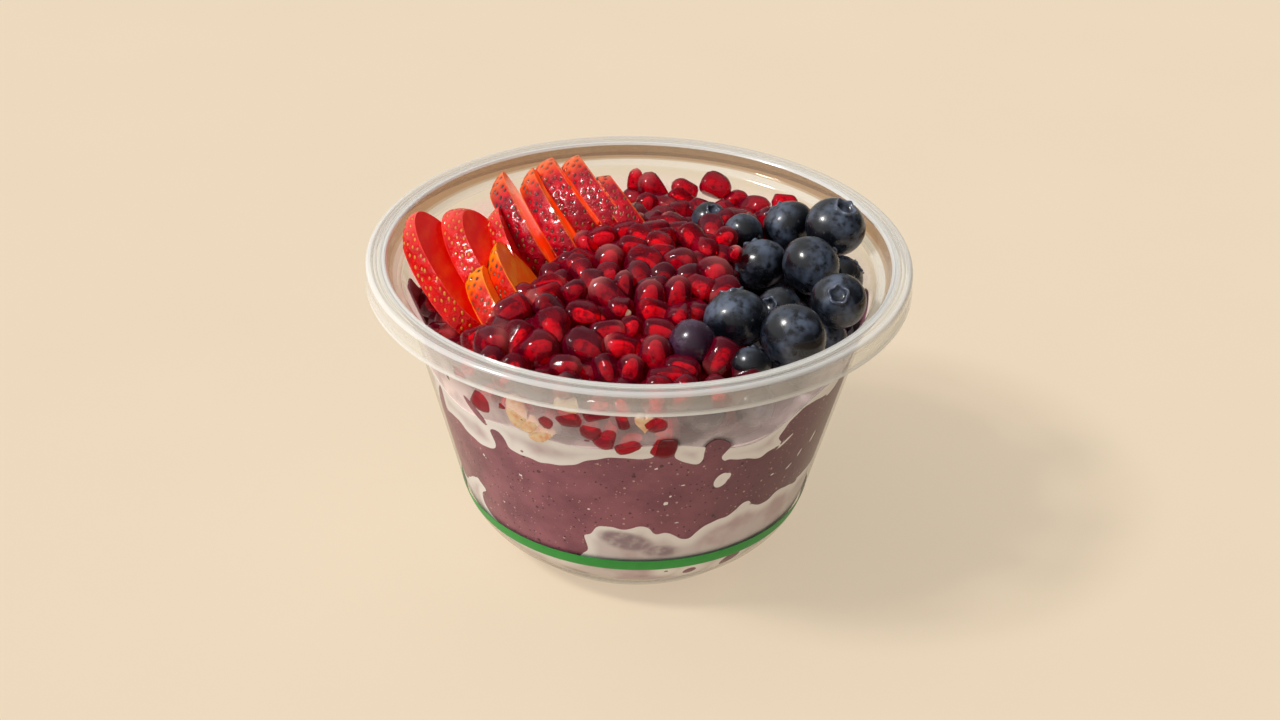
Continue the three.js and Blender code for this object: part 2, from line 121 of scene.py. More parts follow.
def make_piece(
    name: str,
    points: Any,
    faces: Faces,
    finishes: Sequence[bpy.types.Material],
    face_finish: Sequence[int] | None = None,
    marks: dict[str, Any] | None = None,
    sharp_over: float | None = None,
) -> bpy.types.Object:
    """Makes a smooth-shaded mesh object from points in millimetres.

    Args:
        name: The object's name.
        points: Rows of x, y and z in millimetres.
        faces: Point indices of each face.
        finishes: The materials, in slot order.
        face_finish: The slot of each face, or None for the first.
        marks: Named values, one for each point, that materials read.
        sharp_over: The angle in degrees past which an edge stays sharp.

    Returns:
        The new object at the origin.
    """
    mesh = bpy.data.meshes.new(name)
    mesh.from_pydata((np.asarray(points, float) * MM).tolist(), [], faces)
    for finish in finishes:
        mesh.materials.append(finish)
    mesh.polygons.foreach_set("use_smooth", [True] * len(mesh.polygons))
    if face_finish is not None:
        mesh.polygons.foreach_set("material_index", list(face_finish))
    for mark, values in (marks or {}).items():
        mesh.attributes.new(mark, "FLOAT", "POINT").data.foreach_set("value", np.asarray(values, float))
    if sharp_over is not None:
        mesh.set_sharp_from_angle(angle=math.radians(sharp_over))
    mesh.update()
    piece = bpy.data.objects.new(name, mesh)
    bpy.context.scene.collection.objects.link(piece)
    return piece


def fix_to_bowl(piece: bpy.types.Object, slot: str, *nodes: str) -> None:
    """Makes a piece ride on the bowl, and stand for CAD nodes.

    Args:
        piece: The finished piece.
        slot: The name of a material slot; not used.
        nodes: The CAD nodes that it replaces, if any.
    """
    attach(piece, BODY)
    if nodes:
        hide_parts(*nodes)
    log.info("%s: %d faces", piece.name, len(piece.data.polygons))


def settle(piece: bpy.types.Object, modifier: bpy.types.Modifier) -> None:
    """Gives a piece the plain mesh that its modifier makes, under the old mesh's name."""
    graph = bpy.context.evaluated_depsgraph_get()
    result = bpy.data.meshes.new_from_object(piece.evaluated_get(graph))
    piece.modifiers.remove(modifier)
    old = piece.data
    name = old.name
    piece.data = result
    bpy.data.meshes.remove(old)
    result.name = name


def lathed(profile: Profile, segments: int) -> tuple[np.ndarray, Faces]:
    """Turns a profile whose two ends lie on the axis into a closed shell.

    Args:
        profile: Radius and height of each point, outside first.
        segments: The number of steps round the axis.

    Returns:
        The points and the faces.
    """
    inner = np.asarray(profile[1:-1], float)
    rings = ovals(inner[:, 0], inner[:, 1], round_steps(segments))
    return tube([0, 0, profile[0][1]], rings, [0, 0, profile[-1][1]])


def ovals(
    reach: np.ndarray, height: np.ndarray, angles: np.ndarray, wide: float = 1.0, deep: float = 1.0,
) -> np.ndarray:
    """Returns a ring of points for each reach and height, so much as wide and so much as deep."""
    return np.stack([
        reach[:, None] * np.cos(angles) * wide, reach[:, None] * np.sin(angles) * deep,
        np.repeat(height[:, None], len(angles), 1),
    ], -1)


def tube(first: Sequence[float], rings: np.ndarray, last: Sequence[float]) -> tuple[np.ndarray, Faces]:
    """Closes rings of points with a pole before and after them, and returns points and faces."""
    points = np.vstack([first, rings.reshape(-1, 3), last])
    return points, tube_faces(len(rings), rings.shape[1])


def tube_faces(rings: int, segments: int) -> Faces:
    """Lists the faces of closed rings between a first and a last pole."""
    faces: Faces = []
    last = 1 + rings * segments
    for j in range(segments):
        k = (j + 1) % segments
        faces.append((0, 1 + k, 1 + j))
        for i in range(rings - 1):
            a = 1 + i * segments
            b = a + segments
            faces.append((a + j, a + k, b + k, b + j))
        top = 1 + (rings - 1) * segments
        faces.append((last, top + j, top + k))
    return faces


class NodeGraph:
    """A node tree, put together by short calls."""

    def __init__(self, tree: bpy.types.NodeTree) -> None:
        """Works on this tree."""
        self.tree = tree

    def node(self, kind: str, inputs: dict[Any, Any], **settings: Any) -> bpy.types.Node:
        """Adds a node.

        Args:
            kind: The node type's name.
            inputs: Values or sockets for its inputs, by name or index.
            settings: The node's own settings.

        Returns:
            The node.
        """
        node = self.tree.nodes.new(kind)
        for key, value in settings.items():
            setattr(node, key, value)
        for key, value in inputs.items():
            if isinstance(value, Socket):
                self.tree.links.new(value, node.inputs[key])
            else:
                node.inputs[key].default_value = value
        return node

    def math(self, kind: str, first: Any, second: Any, third: Any = 0.0) -> Socket:
        """Adds a math node of two or three values."""
        return self.node("ShaderNodeMath", {0: first, 1: second, 2: third}, operation=kind).outputs[0]


class ShaderTree(NodeGraph):
    """A procedural material's nodes."""

    def __init__(self, name: str) -> None:
        """Starts an empty material of this name."""
        self.material = bpy.data.materials.new(name)
        self.material.use_nodes = True
        super().__init__(self.material.node_tree)
        self.tree.nodes.clear()
        self.output = self.tree.nodes.new("ShaderNodeOutputMaterial")
        self.place = self.tree.nodes.new("ShaderNodeTexCoord").outputs["Object"]

    def noise(self, size: float, detail: float = 3, stretch: Place | None = None) -> Socket:
        """Adds noise whose patches are about size millimetres wide, and returns its value."""
        place = self.place
        if stretch:
            place = self.node("ShaderNodeMapping", {"Vector": place, "Scale": stretch}).outputs["Vector"]
        inputs = {"Vector": place, "Scale": 1 / (size * MM), "Detail": detail}
        return self.node("ShaderNodeTexNoise", inputs).outputs["Fac"]

    def dots(self, spacing: float) -> tuple[Socket, Socket]:
        """Adds scattered dots, and returns the distance from each and a random value for each."""
        inputs = {"Vector": self.place, "Scale": 1 / (spacing * MM)}
        node = self.node("ShaderNodeTexVoronoi", inputs)
        parts = self.node("ShaderNodeSeparateColor", {"Color": node.outputs["Color"]})
        return node.outputs["Distance"], parts.outputs[0]

    def mark(self, name: str) -> Socket:
        """Reads a named value that the mesh carries."""
        return self.node("ShaderNodeAttribute", {}, attribute_name=name).outputs["Fac"]

    def ramp(self, source: Socket, low: float, high: float) -> Socket:
        """Eases a value from 0 at low to 1 at high."""
        inputs = {"Value": source, "From Min": low, "From Max": high}
        return self.node("ShaderNodeMapRange", inputs, interpolation_type="SMOOTHSTEP").outputs["Result"]

    def share(self, kind: str, first: Any, second: Any) -> Socket:
        """Adds a math node of two values, kept between 0 and 1."""
        return self.node("ShaderNodeMath", {0: first, 1: second}, operation=kind, use_clamp=True).outputs[0]

    def mix(self, share: Any, first: Any, second: Any) -> Socket:
        """Mixes two colours by a share."""
        return self.node("ShaderNodeMix", {0: share, 6: first, 7: second}, data_type="RGBA").outputs[2]

    def bump(self, height: Socket, depth: float, strength: float = 1.0) -> Socket:
        """Turns a height into a normal, for relief about depth millimetres deep."""
        inputs = {"Height": height, "Distance": depth * MM, "Strength": strength}
        return self.node("ShaderNodeBump", inputs).outputs["Normal"]

    def surface(self, **inputs: Any) -> Socket:
        """Adds a Principled shader; underscores in the names stand for spaces."""
        named = {key.replace("_", " "): value for key, value in inputs.items()}
        return self.node("ShaderNodeBsdfPrincipled", named).outputs["BSDF"]

    def clear(self, colour: Any) -> Socket:
        """Adds a Transparent shader."""
        return self.node("ShaderNodeBsdfTransparent", {"Color": colour}).outputs["BSDF"]

    def facing(self, blend: float) -> Socket:
        """Adds the gloss weight of a surface seen edge on."""
        return self.node("ShaderNodeLayerWeight", {"Blend": blend}).outputs["Facing"]

    def blend(self, share: Any, first: Any, second: Any) -> Socket:
        """Mixes two shaders by a share."""
        return self.node("ShaderNodeMixShader", {0: share, 1: first, 2: second}).outputs["Shader"]

    def finish(self, shader: Socket) -> bpy.types.Material:
        """Connects the shader and returns the material."""
        self.tree.links.new(shader, self.output.inputs["Surface"])
        return self.material


@dataclass(frozen=True)
class Finish:
    """A material of the bowl or the food; each kind builds its own shader."""

    name: str

    def shader(self, tree: ShaderTree) -> Socket:
        """Builds the shader."""
        raise NotImplementedError(self.name)

    def material(self) -> bpy.types.Material:
        """Builds the material."""
        tree = ShaderTree(self.name)
        return tree.finish(self.shader(tree))


@dataclass(frozen=True)
class ClearPlastic(Finish):
    """Thin clear plastic, with gloss that grows edge on and some milkiness where it is bent; on the rim's
    sharp bends the strong milky white is painted highlight.
    """

    name: str = "clear_plastic"
    tint: Colour = srgb(250, 250, 249)
    edge_tint: Colour = srgb(238, 237, 234)
    milk: float = 0.0
    edge_milk: float = 0.0
    shine: float = 0.35
    roughness: float = 0.06
    mirror: float = 0.01
    gloss: Colour = srgb(250, 250, 250)
    cloud: Colour = srgb(250, 250, 248)

    def shader(self, tree: ShaderTree) -> Socket:
        """Builds the shader."""
        ripple = tree.bump(tree.noise(9, 1), 0.25, 0.35)
        inputs = {"Color": self.gloss, "Roughness": self.roughness, "Normal": ripple}
        gloss = tree.node("ShaderNodeBsdfGlossy", inputs).outputs["BSDF"]
        milky = tree.surface(Base_Color=self.cloud, Roughness=0.25, Normal=ripple)
        edge = tree.ramp(tree.facing(0.5), 0.35, 1)
        clear = tree.clear(tree.mix(edge, self.tint, self.edge_tint))
        body = tree.blend(tree.math("MULTIPLY_ADD", edge, self.edge_milk, self.milk), clear, milky)
        grazing = tree.share("POWER", tree.facing(0.5), 5)
        return tree.blend(tree.math("MULTIPLY_ADD", grazing, self.shine, self.mirror), body, gloss)


@dataclass(frozen=True)
class StripeInk(Finish):
    """Green ink printed on the outside of the plastic."""

    name: str = "green_ink"
    colour: Colour = srgb(30, 142, 52)
    thin: Colour = srgb(48, 160, 66)

    def shader(self, tree: ShaderTree) -> Socket:
        """Builds the shader."""
        mottled = tree.mix(tree.noise(3), self.colour, self.thin)
        return tree.surface(Base_Color=mottled, Roughness=0.45, Specular_IOR_Level=0.3)


@dataclass(frozen=True)
class Cream(Finish):
    """Smooth wet yoghurt, brightest at its edges, with fruit juice in it."""

    name: str = "yoghurt_cream"
    edge: Colour = srgb(248, 242, 244)
    middle: Colour = srgb(220, 208, 212)
    juice: Colour = srgb(196, 168, 178)
    stain: Colour = srgb(150, 128, 140)

    def shader(self, tree: ShaderTree) -> Socket:
        """Builds the shader."""
        middle = tree.mix(tree.ramp(tree.noise(13, 3), 0.42, 0.66), self.middle, self.juice)
        colour = tree.mix(tree.ramp(tree.mark("inward"), 0.8, 4.5), self.edge, middle)
        stain = tree.share("MULTIPLY", tree.mark("stain"), tree.ramp(tree.noise(3, 4), 0.1, 0.6))
        return tree.surface(
            Base_Color=tree.mix(stain, colour, self.stain), Roughness=0.34,
            Coat_Weight=0.2, Coat_Roughness=0.08, Normal=tree.bump(tree.noise(7, 2), 0.4, 0.5),
            Subsurface_Weight=0.12, Subsurface_Radius=(0.6, 0.4, 0.35), Subsurface_Scale=0.003,
        )


@dataclass(frozen=True)
class AcaiBlendFinish(Finish):
    """Thick purple fruit blend with specks of seed and skin, darker towards +X as painted shade."""

    name: str = "acai_blend"
    light: Colour = srgb(158, 94, 112)
    dark: Colour = srgb(122, 66, 86)
    # The colour of the painted shade towards +X.
    deep: Colour = srgb(96, 52, 68)
    pale_speck: Colour = srgb(214, 178, 172)
    dark_speck: Colour = srgb(58, 30, 42)
    shade_from: float = -5 * MM
    shade_to: float = 40 * MM

    def shader(self, tree: ShaderTree) -> Socket:
        """Builds the shader; each kind of speck has a spacing, a rarity, a radius and a colour."""
        colour = tree.mix(tree.ramp(tree.noise(8, 6), 0.3, 0.7), self.dark, self.light)
        colour = tree.mix(tree.share("MULTIPLY", tree.noise(0.6, 2), 0.4), colour, self.light)
        # Painted shade: the blend darkens towards +X, the side turned away from the key light.
        across = tree.node("ShaderNodeSeparateXYZ", {0: tree.place}).outputs["X"]
        depth = tree.ramp(across, self.shade_from, self.shade_to)
        colour = tree.mix(tree.share("MULTIPLY", depth, 0.75), colour, self.deep)
        for spacing, rarity, radius, speck in (
            (1.1, 0.70, 0.17, self.pale_speck),
            (2.3, 0.80, 0.15, self.pale_speck),
            (1.4, 0.65, 0.22, self.dark_speck),
            (3.6, 0.75, 0.16, self.dark_speck),
        ):
            distance, pick = tree.dots(spacing)
            near = tree.share("LESS_THAN", distance, radius)
            share = tree.share("MULTIPLY", near, tree.share("GREATER_THAN", pick, rarity))
            colour = tree.mix(tree.share("MULTIPLY", share, 0.75), colour, speck)
        return tree.surface(
            Base_Color=colour, Roughness=0.42, Specular_IOR_Level=0.25, Coat_Weight=0.12,
            Coat_Roughness=0.09, Normal=tree.bump(tree.noise(2.5, 4), 0.2, 0.5),
        )


@dataclass(frozen=True)
class CreamFilmFinish(Finish):
    """A thin see-through smear of yoghurt on the inside of the plastic, with a painted glow for the light
    scattered through it.
    """

    name: str = "cream_film"
    colour: Colour = srgb(246, 228, 224)
    pink: Colour = srgb(226, 200, 204)
    glow: float = 0.6

    def shader(self, tree: ShaderTree) -> Socket:
        """Builds the shader."""
        tint = tree.mix(tree.noise(16), self.colour, self.pink)
        # The emission is a painted glow, standing in for light scattered through the smear.
        cream = tree.surface(
            Base_Color=tint, Roughness=0.4, Emission_Color=tint, Emission_Strength=self.glow,
        )
        streaks = tree.math("MULTIPLY", tree.ramp(tree.noise(11, 4), 0.3, 0.7), 0.6)
        cover = tree.share("MULTIPLY", tree.mark("cover"), tree.share("ADD", streaks, 0.55))
        return tree.blend(cover, tree.clear(WHITE), cream)


@dataclass(frozen=True)
class StrawberrySkin(Finish):
    """Wet red strawberry skin, paler at its tip, with painted shade in its hollows."""

    bright: Colour
    deep: Colour
    tip: Colour

    def shader(self, tree: ShaderTree) -> Socket:
        """Builds the shader."""
        colour = tree.mix(tree.ramp(tree.noise(5, 4), 0.35, 0.65), self.bright, self.deep)
        colour = tree.mix(tree.ramp(tree.mark("tip"), 0.3, 0.95), colour, self.tip)
        # Painted shade: the hollows round the seeds take the deep colour.
        colour = tree.mix(tree.mark("hollow"), colour, self.deep)
        wet = tree.ramp(tree.noise(1.1, 3), 0.52, 0.7)
        return tree.surface(
            Base_Color=colour, Roughness=0.2, Specular_IOR_Level=0.15, Coat_Weight=0.3, Coat_Roughness=0.08,
            Normal=tree.bump(tree.math("ADD", tree.noise(0.7, 3), wet), 0.2, 0.8),
        )


@dataclass(frozen=True)
class StrawberryFlesh(Finish):
    """The smooth wet cut face of a strawberry, with fine pale veins and a painted glow for the light inside
    the flesh.
    """

    colour: Colour
    pale: Colour
    glow: float = 0.06

    def shader(self, tree: ShaderTree) -> Socket:
        """Builds the shader."""
        veins = tree.ramp(tree.noise(4, 5, (1.0, 0.35, 0.8)), 0.45, 0.75)
        colour = tree.mix(veins, self.colour, self.pale)
        return tree.surface(
            Base_Color=colour, Roughness=0.24, Specular_IOR_Level=0.22,
            Normal=tree.bump(tree.noise(1.6, 3), 0.14, 0.5),
            # The emission is a painted glow, standing in for light that passes through the flesh.
            Emission_Color=colour, Emission_Strength=self.glow,
        )


@dataclass(frozen=True)
class SeedCoat(Finish):
    """The hard coat of a strawberry's own small seeds."""

    name: str = "strawberry_seed"
    pale: Colour = srgb(222, 140, 26)
    dark: Colour = srgb(52, 16, 12)

    def shader(self, tree: ShaderTree) -> Socket:
        """Builds the shader."""
        share = tree.share("ADD", tree.mark("dark"), tree.math("ADD", tree.noise(9, 1), -0.5))
        colour = tree.mix(share, self.pale, self.dark)
        return tree.surface(Base_Color=colour, Roughness=0.35, Coat_Weight=0.4)


@dataclass(frozen=True)
class BerrySkin(Finish):
    """Dark berry skin under patches of pale bloom, which is dull where the skin shines."""

    skin: Colour
    bloom: Colour
    crown: Colour = srgb(120, 128, 150)

    def shader(self, tree: ShaderTree) -> Socket:
        """Builds the shader."""
        patches = tree.ramp(tree.noise(9, 5), 0.42, 0.72)
        rubbed = tree.ramp(tree.noise(2.2, 5), 0.3, 0.6)
        share = tree.share("MULTIPLY", tree.share("MULTIPLY", patches, rubbed), 0.8)
        colour = tree.mix(share, self.skin, self.bloom)
        colour = tree.mix(tree.share("MULTIPLY", tree.mark("crown"), 0.45), colour, self.crown)
        dullness = tree.node("ShaderNodeMapRange", {"Value": share, "To Min": 0.24, "To Max": 0.6})
        return tree.surface(
            Base_Color=colour, Roughness=dullness.outputs["Result"], Specular_IOR_Level=0.4,
            Coat_Weight=0.25, Coat_Roughness=0.12, Normal=tree.bump(tree.noise(1.5, 5), 0.1, 0.5),
        )


@dataclass(frozen=True)
class ArilGel(Finish):
    """The clear red flesh round a pomegranate seed, darkest at its edges."""

    name: str = "aril_gel"
    clear: Colour = srgb(252, 80, 110)
    clear_edge: Colour = srgb(160, 16, 54)
    dark: Colour = srgb(76, 2, 28)
    bright: Colour = srgb(146, 4, 46)
    pale: Colour = srgb(248, 132, 126)

    def shader(self, tree: ShaderTree) -> Socket:
        """Builds the shader; a darker seed has more body and lets less light through."""
        tone = tree.mark("tone")
        pale = tree.mark("pale")
        edge = tree.ramp(tree.facing(0.5), 0.25, 0.95)
        body = tree.mix(pale, tree.mix(tone, self.dark, self.bright), self.pale)
        flesh = tree.surface(
            Base_Color=body, Roughness=0.14, IOR=1.4, Coat_Weight=0.6, Coat_Roughness=0.05,
            Specular_IOR_Level=0.35, Normal=tree.bump(tree.noise(2.2, 3), 0.2, 0.6),
        )
        share = tree.share("ADD", tree.share("MULTIPLY", edge, 0.4), tree.share("MULTIPLY", pale, 0.35))
        share = tree.share("ADD", share, tree.math("MULTIPLY_ADD", tone, -0.44, 0.6))
        return tree.blend(share, tree.clear(tree.mix(edge, self.clear, self.clear_edge)), flesh)


@dataclass(frozen=True)
class ArilKernel(Finish):
    """The seed inside, red where the flesh is thick and pale at one end, with a painted glow for the light
    through the flesh.
    """

    name: str = "aril_kernel"
    dark: Colour = srgb(226, 16, 56)
    bright: Colour = srgb(252, 82, 100)
    streak: Colour = srgb(140, 4, 36)
    pale: Colour = srgb(255, 232, 214)
    glow: float = 0.24

    def shader(self, tree: ShaderTree) -> Socket:
        """Builds the shader."""
        colour = tree.mix(tree.mark("tone"), self.dark, self.bright)
        colour = tree.mix(tree.ramp(tree.noise(1.6, 3), 0.42, 0.68), colour, self.streak)
        colour = tree.mix(tree.mark("pale"), colour, self.pale)
        # The emission is a painted glow, standing in for light that passes through the flesh.
        kernel = tree.surface(
            Base_Color=colour, Roughness=0.6, Specular_IOR_Level=0.1, Emission_Color=colour,
            Emission_Strength=self.glow,
        )
        return tree.blend(tree.ramp(tree.facing(0.5), 0.1, 0.7), kernel, tree.clear(WHITE))


@dataclass(frozen=True)
class HeapShade(Finish):
    """The wet inside of the heap, dark red as painted shade between the seeds."""

    name: str = "heap_core_shade"
    dark: Colour = srgb(60, 3, 14)
    bright: Colour = srgb(104, 6, 24)

    def shader(self, tree: ShaderTree) -> Socket:
        """Builds the shader."""
        colour = tree.mix(tree.noise(4, 3), self.dark, self.bright)
        return tree.surface(
            Base_Color=colour, Roughness=0.25, Normal=tree.bump(tree.noise(5, 2), 1.5, 0.8),
        )


@dataclass(frozen=True)
class NutFlesh(Finish):
    """Cream nut with browner skin left in places."""

    name: str = "nut"
    flesh: Colour = srgb(246, 216, 178)
    skin: Colour = srgb(232, 160, 112)

    def shader(self, tree: ShaderTree) -> Socket:
        """Builds the shader."""
        colour = tree.mix(tree.ramp(tree.noise(2.6, 4), 0.4, 0.75), self.flesh, self.skin)
        return tree.surface(
            Base_Color=colour, Roughness=0.5, Normal=tree.bump(tree.noise(0.8, 4), 0.2, 0.6),
        )


@dataclass(frozen=True)
class FloorPaper(Finish):
    """Plain pale backdrop paper."""

    name: str = "floor_paper"
    colour: Colour = srgb(229, 211, 185)
    shade: Colour = srgb(226, 208, 182)
    bounce: float = 0.4
    glow: float = 0.66

    def shader(self, tree: ShaderTree) -> Socket:
        """Builds the shader."""
        colour = tree.mix(tree.noise(60, 4), self.colour, self.shade)
        return tree.surface(
            Base_Color=tree.mix(self.bounce, BLACK, colour), Roughness=0.9, Specular_IOR_Level=0.1,
            Emission_Color=colour, Emission_Strength=self.glow,
        )


class Tone(Enum):
    """How ripe a strawberry is: its skin, its cut face and its tip."""

    RED = "red"
    ORANGE = "orange"
    CRIMSON = "crimson"

    def skin(self) -> StrawberrySkin:
        """Returns the finish of the skin."""
        return {
            Tone.RED: StrawberrySkin("skin_red", srgb(226, 8, 4), srgb(190, 2, 14), srgb(240, 66, 52)),
            Tone.ORANGE: StrawberrySkin(
                "skin_orange", srgb(240, 52, 6), srgb(198, 14, 12), srgb(255, 158, 14),
            ),
            Tone.CRIMSON: StrawberrySkin(
                "skin_crimson", srgb(210, 4, 30), srgb(152, 2, 30), srgb(255, 104, 8),
            ),
        }[self]

    def flesh(self) -> StrawberryFlesh:
        """Returns the finish of the cut face."""
        return {
            Tone.RED: StrawberryFlesh("flesh_red", srgb(238, 12, 2), srgb(250, 60, 14)),
            Tone.ORANGE: StrawberryFlesh("flesh_orange", srgb(255, 104, 10), srgb(255, 150, 40)),
            # The salmon flesh has a stronger painted glow.
            Tone.CRIMSON: StrawberryFlesh("flesh_salmon", srgb(255, 88, 12), srgb(255, 156, 70), 0.16),
        }[self]


@dataclass(frozen=True)
class BowlForm:
    """The sizes of the clear bowl in millimetres, and what follows from them."""

    rim_radius: float = 75.0
    height: float = 87.0
    sheet: float = 0.8
    skirt_drop: float = 6.4
    land_width: float = 5.0
    wall_top: tuple[float, float] = (65.5, 81.0)
    corner_top: tuple[float, float] = (49.8, 18.6)
    corner_radius: float = 24.6
    corner_start: float = -1.05
    foot_radius: float = 36.0
    foot_width: float = 2.6
    base_rise: float = 1.6

    @property
    def lean(self) -> float:
        """The angle of the wall from upright."""
        return math.atan2(self.wall_top[0] - self.corner_top[0], self.wall_top[1] - self.corner_top[1])

    @property
    def corner_centre(self) -> tuple[float, float]:
        """The middle of the round corner between base and wall."""
        return (
            self.corner_top[0] - self.corner_radius * math.cos(self.lean),
            self.corner_top[1] + self.corner_radius * math.sin(self.lean),
        )

    def corner(self, radius: float, start: float, steps: int) -> Profile:
        """Lists points along the round corner at a radius from its middle."""
        angles = np.linspace(start, -self.lean, steps + 1)
        middle = self.corner_centre
        return [(middle[0] + radius * math.cos(a), middle[1] + radius * math.sin(a)) for a in angles]

    def floor_height(self, clearance: float) -> float:
        """Returns the height of the inside of the base, raised by a clearance."""
        return self.base_rise + self.sheet + clearance

    def inner_radius(self, z: Any, clearance: float) -> Any:
        """Returns the inner radius at a height, on the wall or the round corner.

        Args:
            z: The height, a number or an array.
            clearance: How far inside the plastic, below 0 to reach into it.

        Returns:
            The radius.
        """
        wall = self.corner_top[0] + (z - self.corner_top[1]) * math.tan(self.lean)
        wall = wall - (self.sheet / 2 + clearance) / math.cos(self.lean)
        reach = self.corner_radius - self.sheet / 2 - clearance
        drop = np.clip((z - self.corner_centre[1]) / reach, -1, 1)
        corner = self.corner_centre[0] + reach * np.sqrt(1 - drop * drop)
        return np.where(z < self.corner_top[1], corner, wall)

    def sheet_path(self) -> Profile:
        """Lists the middle of the sheet, from the middle of the base to the end of the skirt."""
        half = self.sheet / 2
        collar = self.rim_radius - self.land_width - half
        top = self.height - half
        out = self.rim_radius - half
        base = (self.foot_radius - self.foot_width - 2, self.base_rise + half)
        foot_inside = (self.foot_radius - self.foot_width, half)
        foot_outside = (self.foot_radius, half)
        corner = self.corner(self.corner_radius, self.corner_start, 20)
        wall = np.linspace(self.corner_top, self.wall_top, 14)[1:-1]
        step = (collar - 0.8, self.wall_top[1] + 1.4)
        land = (collar + 2, top)
        ridges = [
            point
            for r in (collar + 1.1, collar + 2.3, collar + 3.3)
            for point in ((r - 0.3, top), (r, top - 0.22), (r + 0.3, top))
        ]
        return [
            (0, self.base_rise + half),
            *rounded_corner((20, self.base_rise + half), base, foot_inside, 1.0),
            *rounded_corner(base, foot_inside, foot_outside, 0.8),
            *rounded_corner(foot_inside, foot_outside, corner[0], 0.6),
            *corner,
            *[(float(r), float(z)) for r, z in wall],
            *rounded_corner(self.corner_top, self.wall_top, step, 1.0),
            *rounded_corner(self.wall_top, step, (collar, top), 1.0),
            *rounded_corner(step, (collar, top), land, 0.9),
            *ridges,
            *rounded_corner(land, (out, top), (out, top - 3), 1.0),
            (out, top - 2.0),
            (out - 0.25, top - 2.6),
            (out, top - 3.2),
            (out, self.height - self.skirt_drop + 0.8),
            (out + 0.15, self.height - self.skirt_drop),
        ]


def rounded_corner(
    before: tuple[float, float],
    corner: tuple[float, float],
    after: tuple[float, float],
    reach: float,
) -> Profile:
    """Lists points that round off a corner of an outline.

    Args:
        before: A point on the outline before the corner.
        corner: The corner.
        after: A point after it.
        reach: How far from the corner the rounding starts.

    Returns:
        Five points from before the corner to after it.
    """
    middle = np.asarray(corner, float)
    back = np.asarray(before) - middle
    onward = np.asarray(after) - middle
    start = middle + back / np.linalg.norm(back) * reach
    end = middle + onward / np.linalg.norm(onward) * reach
    shares = np.linspace(0, 1, 5)[:, None]
    curve = (1 - shares) ** 2 * start + 2 * shares * (1 - shares) * middle + shares ** 2 * end
    return [(float(r), float(z)) for r, z in curve]


def offset_path(path: Profile, distance: float) -> Profile:
    """Moves an outline sideways, to its left as it runs."""
    points = np.asarray(path, float)
    steps = np.diff(points, axis=0)
    steps /= np.linalg.norm(steps, axis=1)[:, None]
    into = np.vstack([steps[:1], steps])
    out = np.vstack([steps, steps[-1:]])
    normal = np.column_stack([-into[:, 1] - out[:, 1], into[:, 0] + out[:, 0]])
    normal /= np.linalg.norm(normal, axis=1)[:, None]
    stretch = 1 / np.maximum(-normal[:, 0] * into[:, 1] + normal[:, 1] * into[:, 0], 0.5)
    moved = points + normal * (distance * stretch)[:, None]
    return [(max(float(r), 0.0), float(z)) for r, z in moved]


FORM = BowlForm()


class Zone(IntEnum):
    """The parts of the shell that look different."""

    WALL = 0
    RIM = 1
    COLLAR = 2
    BEND = 3


